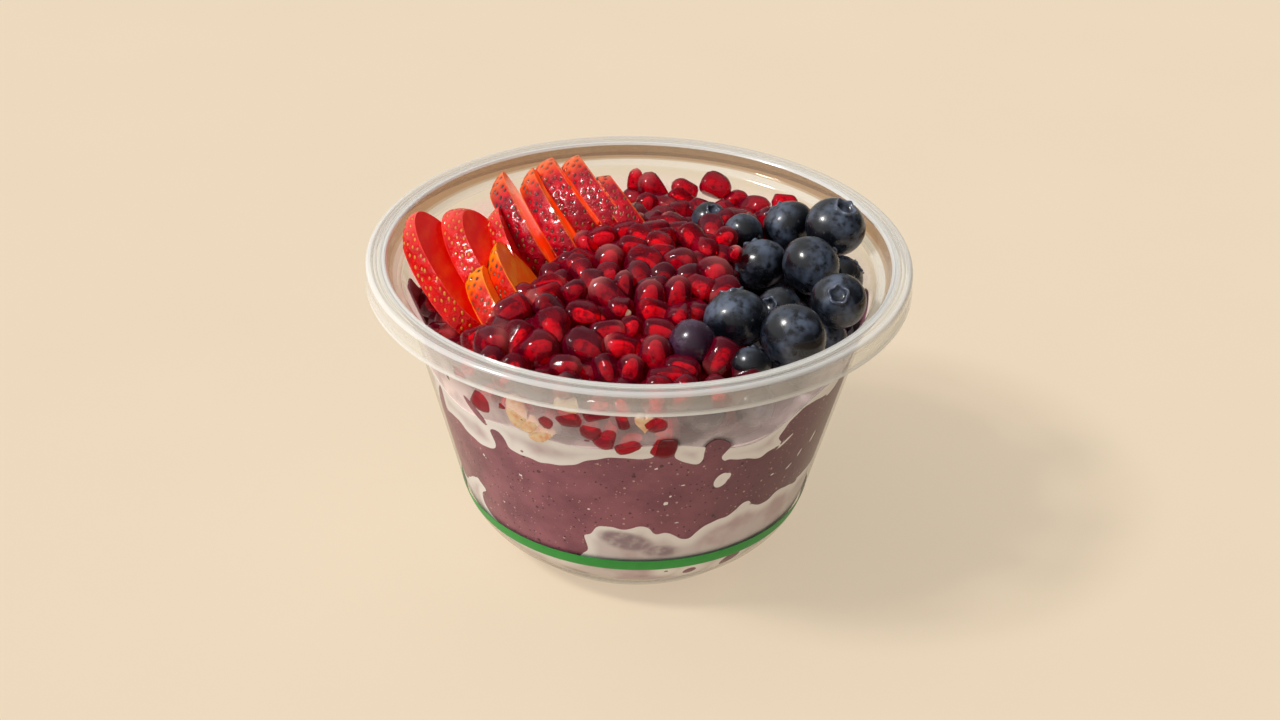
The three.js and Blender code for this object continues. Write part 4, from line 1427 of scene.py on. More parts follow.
@dataclass
class StrawberrySlices:
    """The fanned strawberry slices, with their dimpled skin, cut faces and small seeds."""

    cuts: tuple[SliceCut, ...] = SLICES
    thickness: float = 6.4
    widest_at: float = 0.62
    edge_tilt: float = 0.22
    edge_height: float = 0.3
    rings: int = 76
    arc_points: int = 15
    face_points: int = 9
    seed_spacing: float = 2.65
    seed_length: float = 1.25
    dimple_depth: float = 0.36
    dimple_width: float = 0.75
    gap: float = 0.3
    room_heights: tuple[float, float] = (58.0, 120.0)

    def radius(self, share: Any, radius: float) -> Any:
        """Returns the strawberry's radius at a share of its length from the tip."""
        tip_side = np.clip((self.widest_at - share) / self.widest_at, 0, 1) ** 2.1
        stalk_side = np.clip((share - self.widest_at) / (1.08 - self.widest_at), 0, 1) ** 2.6
        return radius * (1 - np.where(share < self.widest_at, tip_side, stalk_side)) ** 0.62

    def matrix(self, cut: SliceCut) -> Matrix:
        """Returns the place and turn of a slice, in millimetres."""
        tip = Vector(cut.tip)
        along = (Vector(cut.end) - tip).normalized()
        across = Vector(cut.face)
        across = (across - along * across.dot(along)).normalized()
        down = across.cross(along)
        basis = Matrix((across, along, down)).transposed().to_4x4()
        basis.translation = tip
        shift = Matrix.Translation((cut.place * self.thickness / 2, 0, self.edge_height * cut.radius))
        return basis @ shift @ Matrix.Rotation(self.edge_tilt, 4, "X")

    def slab(self, cut: SliceCut) -> tuple[float, float]:
        """Returns the two cut faces' places across the slice."""
        middle = -cut.place * self.thickness / 2
        return middle - self.thickness / 2, middle + self.thickness / 2

    def seeds(self, cut: SliceCut) -> tuple[np.ndarray, np.ndarray]:
        """Places the small seeds in a spiral over the skin, and returns places and normals."""
        low, high = self.slab(cut)
        shares = np.linspace(0.02, 0.98, 160)
        radii = self.radius(shares, cut.radius)
        area = np.concatenate([[0], np.cumsum(2 * math.pi * radii[1:] * np.diff(shares) * cut.length)])
        count = int(area[-1] / (self.seed_spacing ** 2 * 0.87))
        index = np.arange(count)
        stray = np.random.default_rng(count).normal(size=(2, count))
        even = np.interp((index + 0.5) / count * area[-1], area, shares)
        share = np.clip(even + stray[0] * 0.006, 0.01, 0.99)
        angle = index * GOLDEN_ANGLE + stray[1] * 0.04
        reach = self.radius(share, cut.radius)
        growth = self.radius(share + 0.01, cut.radius) - self.radius(share - 0.01, cut.radius)
        slope = growth / (0.02 * cut.length)
        places = np.column_stack([reach * np.cos(angle), share * cut.length, reach * np.sin(angle)])
        normals = np.column_stack([np.cos(angle), -slope, np.sin(angle)])
        normals /= np.linalg.norm(normals, axis=1)[:, None]
        kept = (places[:, 0] > low + 0.4) & (places[:, 0] < high - 0.4)
        return places[kept], normals[kept]

    def slice_mesh(self, cut: SliceCut) -> tuple[np.ndarray, Faces, list[int], np.ndarray, np.ndarray]:
        """Builds a slice in its own frame.

        Args:
            cut: The slice.

        Returns:
            Points, faces, the slot of each face, and how near each point is to a seed and the tip.
        """
        low, high = self.slab(cut)
        shares = np.interp(np.linspace(0, 1, self.rings), [0, 0.12, 1], [0.006, 0.07, 1.0])
        reach = np.maximum(self.radius(shares, cut.radius), 0.15)
        first = np.arccos(np.clip(high / reach, -1, 1))
        last = np.arccos(np.clip(low / reach, -1, 1))
        steps = np.linspace(0, 1, self.arc_points)
        across = np.linspace(0, 1, self.face_points + 2)[1:-1]
        top = first[:, None] + (last - first)[:, None] * steps
        low_x = reach * np.cos(last)
        low_z = reach * np.sin(last)
        high_x = reach * np.cos(first)
        high_z = reach * np.sin(first)
        x = np.hstack([reach[:, None] * np.cos(top), np.repeat(low_x[:, None], len(across), 1),
                       reach[:, None] * np.cos(top[:, ::-1]), np.repeat(high_x[:, None], len(across), 1)])
        z = np.hstack([reach[:, None] * np.sin(top), low_z[:, None] * (1 - 2 * across),
                       -reach[:, None] * np.sin(top[:, ::-1]), -high_z[:, None] * (1 - 2 * across)])
        y = np.repeat((shares * cut.length)[:, None], x.shape[1], 1)
        grid = np.stack([x, y, z], axis=-1)
        skin = np.zeros(x.shape[1], bool)
        skin[:self.arc_points] = True
        skin[self.arc_points + len(across):2 * self.arc_points + len(across)] = True
        places, normals = self.seeds(cut)
        flat = grid.reshape(-1, 3)
        on_skin = np.repeat(skin[None], len(grid), 0).ravel()
        away = np.linalg.norm(flat[:, None] - places[None], axis=2)
        pull = np.exp(-(away / self.dimple_width) ** 2) * on_skin[:, None]
        flat = flat - (pull[..., None] * normals[None]).sum(1) * self.dimple_depth
        hollow = pull.max(1)
        segments = x.shape[1]
        middle_x = float(np.clip(0, low, high))
        tip = [middle_x if low < 0 < high else (low_x[0] + high_x[0]) / 2, 0, 0]
        end = [(low_x[-1] + high_x[-1]) / 2, cut.length - 0.8, 0]
        points = np.vstack([tip, flat, end])
        faces = [tuple(reversed(face)) for face in tube_faces(len(grid), segments)]
        slots = []
        for face in faces:
            columns = [(k - 1) % segments for k in face if 0 < k <= len(flat)]
            seam = max(columns) - min(columns) > 1
            left = max(columns) if seam else min(columns)
            is_skin = skin[left] and skin[(left + 1) % segments]
            capped = len(points) - 1 in face
            slots.append(0 if is_skin and not capped else 1)
        rim = np.exp(-(np.minimum(high - points[:, 0], points[:, 0] - low) / 0.5) ** 2) * 0.75
        tips = np.maximum(1 - points[:, 1] / (0.5 * cut.length), rim)
        return points, faces, slots, np.concatenate([[0], hollow, [0]]), tips

    def coarse(self, cut: SliceCut, grow: float) -> tuple[np.ndarray, Faces]:
        """Builds a simple copy of a slice, a little larger, that makes room in its neighbours."""
        low, high = self.slab(cut)
        shares = np.linspace(0.01, 1, 14)
        reach = self.radius(shares, cut.radius) + grow
        angles = round_steps(40)
        x = np.clip(reach[:, None] * np.cos(angles), low - grow, high + grow)
        z = reach[:, None] * np.sin(angles)
        y = np.repeat((shares * cut.length)[:, None], 40, 1)
        middle = (low + high) / 2
        grid = np.stack([x, y, z], -1)
        points, faces = tube([middle, -grow, 0], grid, [middle, cut.length + grow, 0])
        return points, [tuple(reversed(face)) for face in faces]

    def placed(self, points: np.ndarray, matrix: Matrix) -> np.ndarray:
        """Moves points by a matrix."""
        turn = np.asarray(matrix.to_3x3())
        return points @ turn.T + np.asarray(matrix.translation)

    def cut_away(self, piece: bpy.types.Object, tool: bpy.types.Object, kind: str) -> None:
        """Cuts a piece by a tool and keeps the result as a plain mesh."""
        modifier = piece.modifiers.new("cut", "BOOLEAN")
        modifier.operation = kind
        modifier.solver = "MANIFOLD"
        modifier.object = tool
        settle(piece, modifier)

    def fit(self) -> None:
        """Builds the slices and their seeds and puts them in place of their nodes."""
        finishes = {tone: (tone.skin().material(), tone.flesh().material()) for tone in Tone}
        low, high = self.room_heights
        cavity = [
            (0, low), (float(FORM.inner_radius(low, 0.4)), low),
            (float(FORM.inner_radius(high, 0.4)), high), (0, high),
        ]
        points, faces = lathed(cavity, 160)
        room = make_piece("room_for_slices", points, faces, [finishes[Tone.RED][1]])
        tools: list[bpy.types.Object] = []
        seed_places: list[np.ndarray] = []
        seed_normals: list[np.ndarray] = []
        seed_darks: list[np.ndarray] = []
        for number, cut in enumerate(self.cuts, 1):
            matrix = self.matrix(cut)
            points, faces, slots, hollow, tips = self.slice_mesh(cut)
            piece = make_piece(
                f"slice_{number:02d}", self.placed(points, matrix), faces, finishes[cut.tone], slots,
                {"hollow": hollow, "tip": tips},
            )
            self.cut_away(piece, room, "INTERSECT")
            for tool in tools:
                self.cut_away(piece, tool, "DIFFERENCE")
            piece.data.set_sharp_from_angle(angle=math.radians(48))
            points, faces = self.coarse(cut, self.gap)
            points = self.placed(points, matrix)
            tools.append(make_piece(f"room_{number:02d}", points, faces, [finishes[cut.tone][1]]))
            places, normals = self.seeds(cut)
            places = self.placed(places - normals * self.dimple_depth * 0.75, matrix)
            normals = normals @ np.asarray(matrix.to_3x3()).T
            kept = self.on_surface(piece, places)
            seed_darks.append(np.full(kept.sum(), 0.12 if cut.tone is Tone.RED else 0.85))
            seed_places.append(places[kept])
            seed_normals.append(normals[kept])
            fix_to_bowl(piece, "strawberry", f"strawberry_slice_{number:02d}")
        for tool in (room, *tools):
            bpy.data.objects.remove(tool)
        self.scatter_seeds(np.vstack(seed_places), np.vstack(seed_normals), np.concatenate(seed_darks))

    def on_surface(self, piece: bpy.types.Object, places: np.ndarray) -> np.ndarray:
        """Tells which places lie on a piece's surface."""
        mesh = bmesh.new()
        mesh.from_mesh(piece.data)
        tree = BVHTree.FromBMesh(mesh)
        mesh.free()
        found = [tree.find_nearest(Vector(place) * MM, 0.45 * MM)[0] is not None for place in places]
        return np.asarray(found, bool)

    def scatter_seeds(self, places: np.ndarray, normals: np.ndarray, darks: np.ndarray) -> None:
        """Puts one small seed at each place with Geometry Nodes.

        Args:
            places: The seeds' places in millimetres.
            normals: The way that each faces.
            darks: How dark each is, 0 to 1.
        """
        finish = SeedCoat().material()
        piece = make_piece("strawberry_seeds", places, [], [finish], marks={"dark": darks})
        mark = piece.data.attributes.new("facing", "FLOAT_VECTOR", "POINT")
        mark.data.foreach_set("vector", normals.ravel())
        tree = SeedScatter(self.seed_length * MM, finish).tree()
        modifier = piece.modifiers.new("seeds", "NODES")
        modifier.node_group = tree
        for socket in tree.interface.items_tree:
            if socket.in_out == "INPUT" and socket.name == "Seed length":
                modifier[socket.identifier] = self.seed_length * MM
        settle(piece, modifier)
        fix_to_bowl(piece, "strawberry")


@dataclass
class SeedScatter:
    """A Geometry Nodes tree that puts a small flat seed on each point of a mesh."""

    length: float
    finish: bpy.types.Material

    def tree(self) -> bpy.types.NodeTree:
        """Builds the tree.

        Returns:
            The node group, whose input Seed length is in metres.
        """
        group = bpy.data.node_groups.new("strawberry_seed_scatter", "GeometryNodeTree")
        group.interface.new_socket("Geometry", in_out="INPUT", socket_type="NodeSocketGeometry")
        length = group.interface.new_socket("Seed length", in_out="INPUT", socket_type="NodeSocketFloat")
        length.default_value = self.length
        group.interface.new_socket("Geometry", in_out="OUTPUT", socket_type="NodeSocketGeometry")
        graph = NodeGraph(group)
        given = graph.node("NodeGroupInput", {})
        ball = graph.node("GeometryNodeMeshUVSphere", {"Segments": 8, "Rings": 5, "Radius": 0.5})
        seed = graph.node("GeometryNodeTransform", {
            "Geometry": ball.outputs["Mesh"], "Scale": (0.62, 1.0, 0.42),
        })
        facing = graph.node("GeometryNodeInputNamedAttribute", {"Name": "facing"}, data_type="FLOAT_VECTOR")
        turn = graph.node("FunctionNodeAlignRotationToVector", {"Vector": facing.outputs[0]}, axis="Z")
        size = graph.node("FunctionNodeRandomValue", {2: 0.85, 3: 1.15, "Seed": 11}, data_type="FLOAT")
        placed = graph.node("GeometryNodeInstanceOnPoints", {
            "Points": given.outputs["Geometry"], "Instance": seed.outputs["Geometry"],
            "Rotation": turn.outputs["Rotation"],
            "Scale": graph.math("MULTIPLY", size.outputs[1], given.outputs["Seed length"]),
        })
        real = graph.node("GeometryNodeRealizeInstances", {"Geometry": placed.outputs["Instances"]})
        finished = graph.node("GeometryNodeSetMaterial", {
            "Geometry": real.outputs["Geometry"], "Material": self.finish,
        })
        graph.node("NodeGroupOutput", {"Geometry": finished.outputs["Geometry"]})
        return group


@dataclass(frozen=True)
class Berry:
    """A blueberry's radius, the way its crown looks, and whether its bloom is purple."""

    radius: float
    crown: Place
    purple: bool = False


BERRIES = (
    Berry(8.7, (0.3, -0.2, 0.9)), Berry(7.7, (-0.6, 0.4, 0.6)), Berry(8.4, (0.7, 0.5, 0.2)),
    Berry(7.8, (-0.4, 0.7, 0.5)), Berry(7.6, (-0.1, -0.7, 0.7)), Berry(8.9, (0.5, 0.8, 0.1)),
    Berry(8.8, (-0.2, 0.5, 0.8)), Berry(6.4, (-0.5, -0.6, 0.6)), Berry(6.3, (0.6, 0.6, -0.4), True),
    Berry(5.4, (0.2, 0.7, 0.6)), Berry(5.8, (0.4, 0.8, 0.3)), Berry(5.4, (0.2, -0.4, 0.9)),
    Berry(6.2, (0.8, 0.2, 0.5)), Berry(6.2, (-0.7, -0.3, 0.6)), Berry(6.6, (0.1, 0.4, 0.9)),
    Berry(6.4, (-0.5, 0.4, 0.7)), Berry(6.8, (0.5, 0.7, 0.4)), Berry(6.8, (-0.3, 0.8, 0.5)),
    Berry(6.6, (-0.8, 0.2, 0.5)), Berry(7.2, (-0.5, -0.5, 0.7)), Berry(6.8, (0.3, -0.7, 0.6)),
    Berry(6.8, (0.2, 0.2, 0.9)), Berry(7.4, (0.4, -0.3, 0.8)), Berry(6.9, (-0.3, 0.3, 0.9)),
)


@dataclass
class Blueberries:
    """The blueberries, each with its star-shaped crown."""

    berries: tuple[Berry, ...] = BERRIES
    segments: int = 50
    rings: int = 26
    flatness: float = 0.9
    lobes: int = 5

    def shape(self, berry: Berry, seed: int) -> tuple[np.ndarray, Faces, np.ndarray]:
        """Builds a berry about +Z.

        Args:
            berry: The berry.
            seed: The seed of its unevenness.

        Returns:
            Points, faces and how near each point is to the crown.
        """
        lip = math.acos(0.4)
        turn = np.linspace(-math.pi / 2, lip, self.rings + 1)[1:]
        body = [(math.cos(t), self.flatness * math.sin(t)) for t in turn]
        crown = [(0.37, 0.845), (0.36, 0.88), (0.335, 0.905), (0.30, 0.895), (0.27, 0.84), (0.235, 0.77),
                 (0.17, 0.735), (0.07, 0.73)]
        outline = np.asarray([*body, *crown])
        angles = round_steps(self.segments)
        star = np.cos(self.lobes * angles + seed)
        petal = np.concatenate([np.zeros(len(body)), [0.3, 0.8, 1, 1, 0.5, 0.1, 0, 0]])
        radius = outline[:, :1] * (1 + petal[:, None] * star * 0.13)
        height = outline[:, 1:] + petal[:, None] * star * 0.028
        draw = np.random.default_rng(seed)
        uneven = sum(
            0.012 * np.sin(k * angles[None] + draw.random() * ROUGH_TURN)
            * np.sin((k + 1) * outline[:, 1:] * 1.4 + k)
            for k in (1, 2, 3)
        )
        radius = radius * (1 + uneven)
        grid = np.stack([
            radius * np.cos(angles), radius * np.sin(angles), height * np.ones_like(radius),
        ], -1)
        points, faces = tube([0, 0, -self.flatness], grid, [0, 0, 0.73])
        near = np.concatenate([[0], np.repeat(petal, self.segments), [0.2]])
        return points * berry.radius, faces, near

    def fit(self) -> None:
        """Builds the berries where their nodes are and puts them in their place."""
        blue = BerrySkin("blueberry_skin", srgb(15, 18, 25), srgb(92, 104, 126)).material()
        purple = BerrySkin("blueberry_purple", srgb(46, 22, 42), srgb(120, 92, 128)).material()
        for number, berry in enumerate(self.berries, 1):
            node = f"blueberry_{number:02d}"
            low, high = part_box(node)
            middle = np.asarray((low + high) / 2) / MM
            points, faces, near = self.shape(berry, number)
            turn = Vector((0, 0, 1)).rotation_difference(Vector(berry.crown).normalized())
            points = points @ np.asarray(turn.to_matrix()).T + middle
            skin = purple if berry.purple else blue
            piece = make_piece(f"berry_{number:02d}", points, faces, [skin], marks={"crown": near})
            fix_to_bowl(piece, "blueberry", node)


@dataclass(frozen=True)
class SeenAril:
    """A pomegranate seed that the photograph shows: its middle in the close-up, the way its
    thin end points there in degrees, its length and width there, how far that end tips towards
    the viewer, and how pale the end is."""

    across: float
    down: float
    angle: float
    length: float
    width: float
    nod: float
    pale: float


SEEN_ARILS = tuple(SeenAril(*row) for row in (
    (770, 140, 80, 72, 42, 10, 0.95), (818, 165, 115, 108, 80, 20, 0.3), (908, 167, 150, 84, 58, 0, 0.2),
    (997, 158, -30, 96, 72, 10, 0.1), (1055, 198, 20, 74, 56, 0, 0.1), (1105, 222, 20, 100, 70, 15, 0.2),
    (1190, 206, -10, 78, 60, 0, 0.1), (800, 213, 60, 90, 68, 30, 0.0), (902, 205, -45, 102, 68, 10, 0.3),
    (780, 262, 100, 66, 54, 30, 0.6), (852, 266, 5, 110, 56, 0, 0.2), (1015, 258, 210, 88, 62, 0, 0.2),
    (1060, 280, 80, 60, 50, 30, 0.8), (1018, 310, 40, 90, 68, 20, 0.2), (1050, 346, 60, 46, 40, 20, 0.9),
    (680, 303, 10, 90, 66, 10, 0.0), (765, 330, -5, 92, 56, 0, 0.1), (840, 325, -25, 92, 68, 15, 0.2),
    (930, 310, -55, 106, 68, 5, 0.35), (560, 380, 12, 118, 86, 5, 0.1), (625, 400, -60, 68, 60, 30, 0.85),
    (697, 370, 75, 96, 86, 35, 0.4), (800, 380, -20, 110, 94, 25, 0.2), (897, 374, 25, 92, 80, 25, 0.2),
    (985, 418, 55, 122, 108, 20, 0.4), (515, 475, 200, 102, 90, 50, 0.7), (595, 455, 30, 84, 68, 20, 0.0),
    (690, 465, 130, 114, 82, 10, 0.5), (737, 440, 80, 94, 56, 5, 0.3), (808, 480, 75, 124, 82, 5, 0.3),
    (888, 468, 80, 120, 76, 5, 0.3), (625, 520, -15, 98, 76, 15, 0.1), (540, 556, -60, 102, 90, 30, 0.3),
    (372, 598, 20, 102, 84, 25, 0.6), (443, 588, 240, 106, 78, 10, 0.6), (497, 618, 30, 114, 100, 30, 0.1),
    (632, 612, -20, 118, 94, 25, 0.1), (695, 568, 15, 102, 64, 5, 0.5), (755, 560, 50, 84, 64, 20, 0.0),
    (838, 565, -10, 94, 64, 10, 0.4), (828, 632, 90, 114, 86, 15, 0.2), (1010, 640, 235, 108, 86, 15, 0.35),
    (757, 672, 70, 86, 68, 10, 0.3), (690, 672, -70, 88, 68, 15, 0.2), (575, 665, 10, 90, 64, 20, 0.4),
    (903, 668, -10, 98, 68, 15, 0.0), (868, 694, 0, 120, 56, 0, 0.2), (1088, 678, 10, 86, 60, 10, 0.4),
))


# Seeds pressed against the wall: photograph pixel, the way the thin end points in degrees,
# length and width in millimetres, and how pale that end is
WALL_ARILS = (
    (664, 434, 85, 12.0, 8.2, 0.8), (630, 440, 20, 9.0, 6.5, 0.2), (609, 430, 60, 10.0, 7.0, 0.0),
    (590, 424, 150, 8.0, 6.0, 0.3), (622, 411, 100, 9.0, 7.0, 0.0),
    (600, 408, 5, 9.0, 7.0, 0.1), (488, 393, 45, 9.5, 7.5, 0.0), (570, 412, 170, 9.0, 6.5, 0.4),
)


@dataclass
class PomegranateHeap:
    """The heap of pomegranate seeds over its core."""

    seed_width: float = 7.3
    seed_length: float = 10.0
    middle: float = 87.0
    front_fall: float = 8.0
    back_fall: float = 9.0
    side_fall: float = 17.0
    edge: tuple[float, float, float] = (-24.0, -5.0, 0.49)
    reach: float = 60.0
    berry_side: tuple[float, float, float, float] = (60.0, -14.0, 40.0, 0.82)
    pixels_per_mm: float = 10.2
    around: int = 16
    along: int = 11
    variants: int = 14
    plumpness: float = 1.3
    slenderness: float = 1.06
    softness: float = 0.022
    flats: int = 5
    flat_turn: float = 1.2566
    kernel_around: int = 8
    kernel_along: int = 6
    core_depth: float = 7.4
    random_seed: int = 20417
    shells: list[np.ndarray] = field(default_factory=list)
    kernels: list[np.ndarray] = field(default_factory=list)
    tones: list[float] = field(default_factory=list)
    pales: list[float] = field(default_factory=list)
    middles: list[Vector] = field(default_factory=list)

    def height(self, x: Any, y: Any) -> Any:
        """Returns the height of the heap over a plan place, as its node has it."""
        edge_x, edge_y, slant = self.edge
        front = self.front_fall * smoothstep(-y, 25, 60)
        back = self.back_fall * smoothstep(y, 5, 55)
        beyond = (edge_x - x) * math.cos(slant) + (y - edge_y) * math.sin(slant)
        return self.middle - np.maximum(front + back, self.side_fall * smoothstep(beyond, -4, 12))

    def room(self, z: float, width: float) -> float:
        """Returns how far out the middle of a seed of a width may lie at a height."""
        return float(FORM.inner_radius(z, 0.6)) - width * 0.5

    def at_back(self, place: Vector, width: float) -> bool:
        """Tells whether a seed of a width would rest against the far wall here."""
        room = self.room(min(place.z, FORM.wall_top[1]), width)
        return place.y > 0 and math.hypot(place.x, place.y) > room

    def off_berries(self, x: float, y: float, margin: float) -> bool:
        """Tells whether a plan place lies clear of the blueberries' and the slices' sides."""
        middle_x, middle_y, radius, narrow = self.berry_side
        off_slices = x > -36 - margin or y < -34 - margin or math.hypot(x, y) > 51
        return off_slices and math.hypot((x - middle_x) / narrow, y - middle_y) > radius + margin

    def variant_shapes(self) -> tuple[list[np.ndarray], np.ndarray, np.ndarray]:
        """Builds the unit shapes that the seeds share.

        Returns:
            The shell shapes, the kernel shape, and each shell point's place along the seed.
        """
        draw = np.random.default_rng(self.random_seed)
        steps = np.linspace(-1, 1, self.along + 2)[1:-1]
        along = np.sign(steps) * np.abs(steps) ** 0.86
        width = np.sqrt(1 - along ** 2) * (1 - 0.2 * along)
        grid = ovals(width, along * 0.5, round_steps(self.around), 0.5, 0.5)
        base, _ = tube([0, 0, -0.5], grid, [0, 0, 0.5])
        shapes = []
        for _ in range(self.variants):
            shape = base.copy()
            start = draw.random() * ROUGH_TURN
            for side in range(self.flats):
                angle = start + side * self.flat_turn + draw.normal() * 0.2
                normal = np.array([math.cos(angle), math.sin(angle), draw.normal() * 0.16])
                normal /= np.linalg.norm(normal)
                over = shape @ normal - (0.33 + draw.random() * 0.09)
                shape = shape - np.log1p(np.exp(over / self.softness))[:, None] * self.softness * normal
            shapes.append(shape)
        steps = np.linspace(-1, 1, self.kernel_along + 2)[1:-1]
        width = np.sqrt(1 - steps ** 2) * (1 - 0.25 * steps)
        grid = ovals(width, steps * 0.4, round_steps(self.kernel_around), 0.27, 0.2)
        kernel, _ = tube([0, 0, -0.38], grid, [0, 0, 0.38])
        return shapes, kernel + np.array([0, 0, 0.03]), base[:, 2]

    def add(
        self, middle: Vector, axis: Vector, length: float, width: float, tone: float, pale: float,
    ) -> None:
        """Adds one seed.

        Args:
            middle: Its middle in millimetres.
            axis: The way that its thin end points.
            length: Its length.
            width: Its width.
            tone: How bright it is, 0 to 1.
            pale: How pale its thin end is, 0 to 1.
        """
        turn = np.asarray(Vector((0, 0, 1)).rotation_difference(axis.normalized()).to_matrix())
        size = np.array([width * self.plumpness, width * self.plumpness, length * self.slenderness])
        shape = self.shapes[len(self.shells) % self.variants]
        self.shells.append((shape * size) @ turn.T + np.asarray(middle))
        self.kernels.append((self.kernel * size) @ turn.T + np.asarray(middle))
        self.tones.append(tone)
        self.pales.append(pale)
        self.middles.append(middle.copy())

    def add_seen(self) -> None:
        """Adds the seeds that the photograph shows, on the heap where it shows them."""
        draw = np.random.default_rng(self.random_seed + 1)
        right, up, back = (CAMERA.turn @ Vector(axis) for axis in ((1, 0, 0), (0, 1, 0), (0, 0, 1)))
        for seen in SEEN_ARILS:
            width = seen.width / self.pixels_per_mm
            length = max(seen.length / self.pixels_per_mm, width * 1.22)
            middle = CAMERA.meet(
                *CAMERA.from_close_up(seen.across, seen.down),
                lambda p, w=width: p.z > float(self.height(p.x, p.y)) - 0.4 * w and not self.at_back(p, w),
            )
            angle = math.radians(seen.angle)
            nod = math.radians(seen.nod)
            axis = (right * math.cos(angle) + up * math.sin(angle)) * math.cos(nod) + back * math.sin(nod)
            room = self.room(middle.z, width)
            out = math.hypot(middle.x, middle.y)
            if out > room and middle.z < FORM.wall_top[1] + 1:
                middle.x *= room / out
                middle.y *= room / out
            self.add(middle, axis, length, width, 0.25 + 0.7 * float(draw.random()), seen.pale)
            below = middle.z - 6
            while middle.y > 0 and below > float(self.height(middle.x, middle.y)) - 1:
                heading = draw.random() * ROUGH_TURN
                prop = Vector((math.cos(heading), math.sin(heading), 0.2))
                under = Vector((middle.x, middle.y - 1, below))
                self.add(under, prop, self.seed_length, self.seed_width, 0.3, 0.1)
                below -= 6

    def add_at_wall(self) -> None:
        """Adds the seeds that show pressed against the front of the wall."""
        up = CAMERA.turn @ Vector((0, 1, 0))
        for across, down, angle, length, width, pale in WALL_ARILS:
            middle = CAMERA.beside_wall(across, down, width * 0.42)
            outward = Vector((middle.x, middle.y, 0)).normalized()
            axis = Matrix.Rotation(math.radians(angle - 90), 3, outward) @ up
            axis = axis - outward * axis.dot(outward)
            self.add(middle, axis, length, width, 0.6, pale)

    def add_fill(self, rivals: list[tuple[Vector, float]]) -> None:
        """Adds the seeds under and between those, over the core and against the wall.

        Args:
            rivals: Middles and radii of the blueberries.
        """
        draw = np.random.default_rng(self.random_seed + 2)

        def offer(x: float, y: float, z: float, lift: float) -> None:
            """Adds a seed if nothing is in its place yet."""
            place = Vector((x, y, z))
            if any((place - other).length < 5.6 for other in self.middles):
                return
            if any((place - other).length < radius + 2.6 for other, radius in rivals):
                return
            heading = draw.random() * ROUGH_TURN
            rise = draw.normal() * lift
            axis = Vector((math.cos(heading), math.sin(heading), rise))
            size = 0.9 + 0.2 * float(draw.random())
            pale = max(0.0, float(draw.random()) * 1.5 - 0.6)
            length = self.seed_length * size
            width = self.seed_width * size * 0.94
            self.add(place, axis, length, width, float(draw.random()), pale)

        for depth, spacing in ((3.4, 7.0), (6.2, 7.0)):
            steps = np.arange(-self.reach, self.reach, spacing)
            for row, y in enumerate(steps * 0.87):
                for x in steps + (row % 2) * spacing / 2:
                    px, py = x + draw.normal() * 0.8, y + draw.normal() * 0.8
                    z = float(self.height(px, py)) - depth
                    room = float(FORM.inner_radius(min(z, 80), 0)) - 4.2
                    if math.hypot(px, py) < room and self.off_berries(px, py, 1):
                        offer(px, py, z, 0.5)
        for z in (66.5, 72.0, 77.4):
            radius = float(FORM.inner_radius(z, 0)) - 4.3
            count = int(2 * math.pi * radius / 7.6)
            for k in range(count):
                angle = (k + 0.5 * (z > 70) + draw.random() * 0.3) * 2 * math.pi / count
                x, y = radius * math.sin(angle), -radius * math.cos(angle)
                bottom = float(TOP_SURFACE.height(x, y)) + 3.2
                if z < bottom - 1 or z > float(self.height(x, y)) - 1 or not self.off_berries(x, y, 1):
                    continue
                offer(x, y, z + draw.normal() * 0.5, 0.8)

    def gather(self, shapes: list[np.ndarray], around: int, rings: int) -> tuple[np.ndarray, Faces]:
        """Joins many like shapes into one mesh."""
        unit = tube_faces(rings, around)
        step = len(shapes[0])
        faces = [tuple(step * k + index for index in face) for k in range(len(shapes)) for face in unit]
        return np.vstack(shapes), faces

    def core(self) -> tuple[np.ndarray, Faces]:
        """Builds the closed core under the seeds, clear of the blueberries' side."""
        centre = np.array([-14.0, 2.0])
        sectors = 96
        shares = np.linspace(0.1, 1, 10)
        rows: list[list[list[float]]] = []
        for k in range(sectors):
            angle = 2 * math.pi * k / sectors
            way = np.array([math.cos(angle), math.sin(angle)])
            far = 0.0
            while True:
                x, y = centre + way * (far + 0.5)
                if math.hypot(x, y) > float(FORM.inner_radius(66.0, 4.6)) or not self.off_berries(x, y, 2.5):
                    break
                far += 0.5
            spots = [centre + way * far * share for share in shares]
            low = [[x, y, float(TOP_SURFACE.height(x, y)) + 0.5] for x, y in spots]
            high = []
            for x, y in spots:
                roof = float(self.height(x, y)) - self.core_depth
                high.append([x, y, max(roof, float(TOP_SURFACE.height(x, y)) + 1.5)])
            rows.append([*low, *reversed(high)])
        grid = np.asarray(rows).transpose(1, 0, 2)
        floor = float(TOP_SURFACE.height(*centre)) + 0.5
        peak = float(self.height(*centre)) - self.core_depth
        return tube([*centre, floor], grid, [*centre, peak])

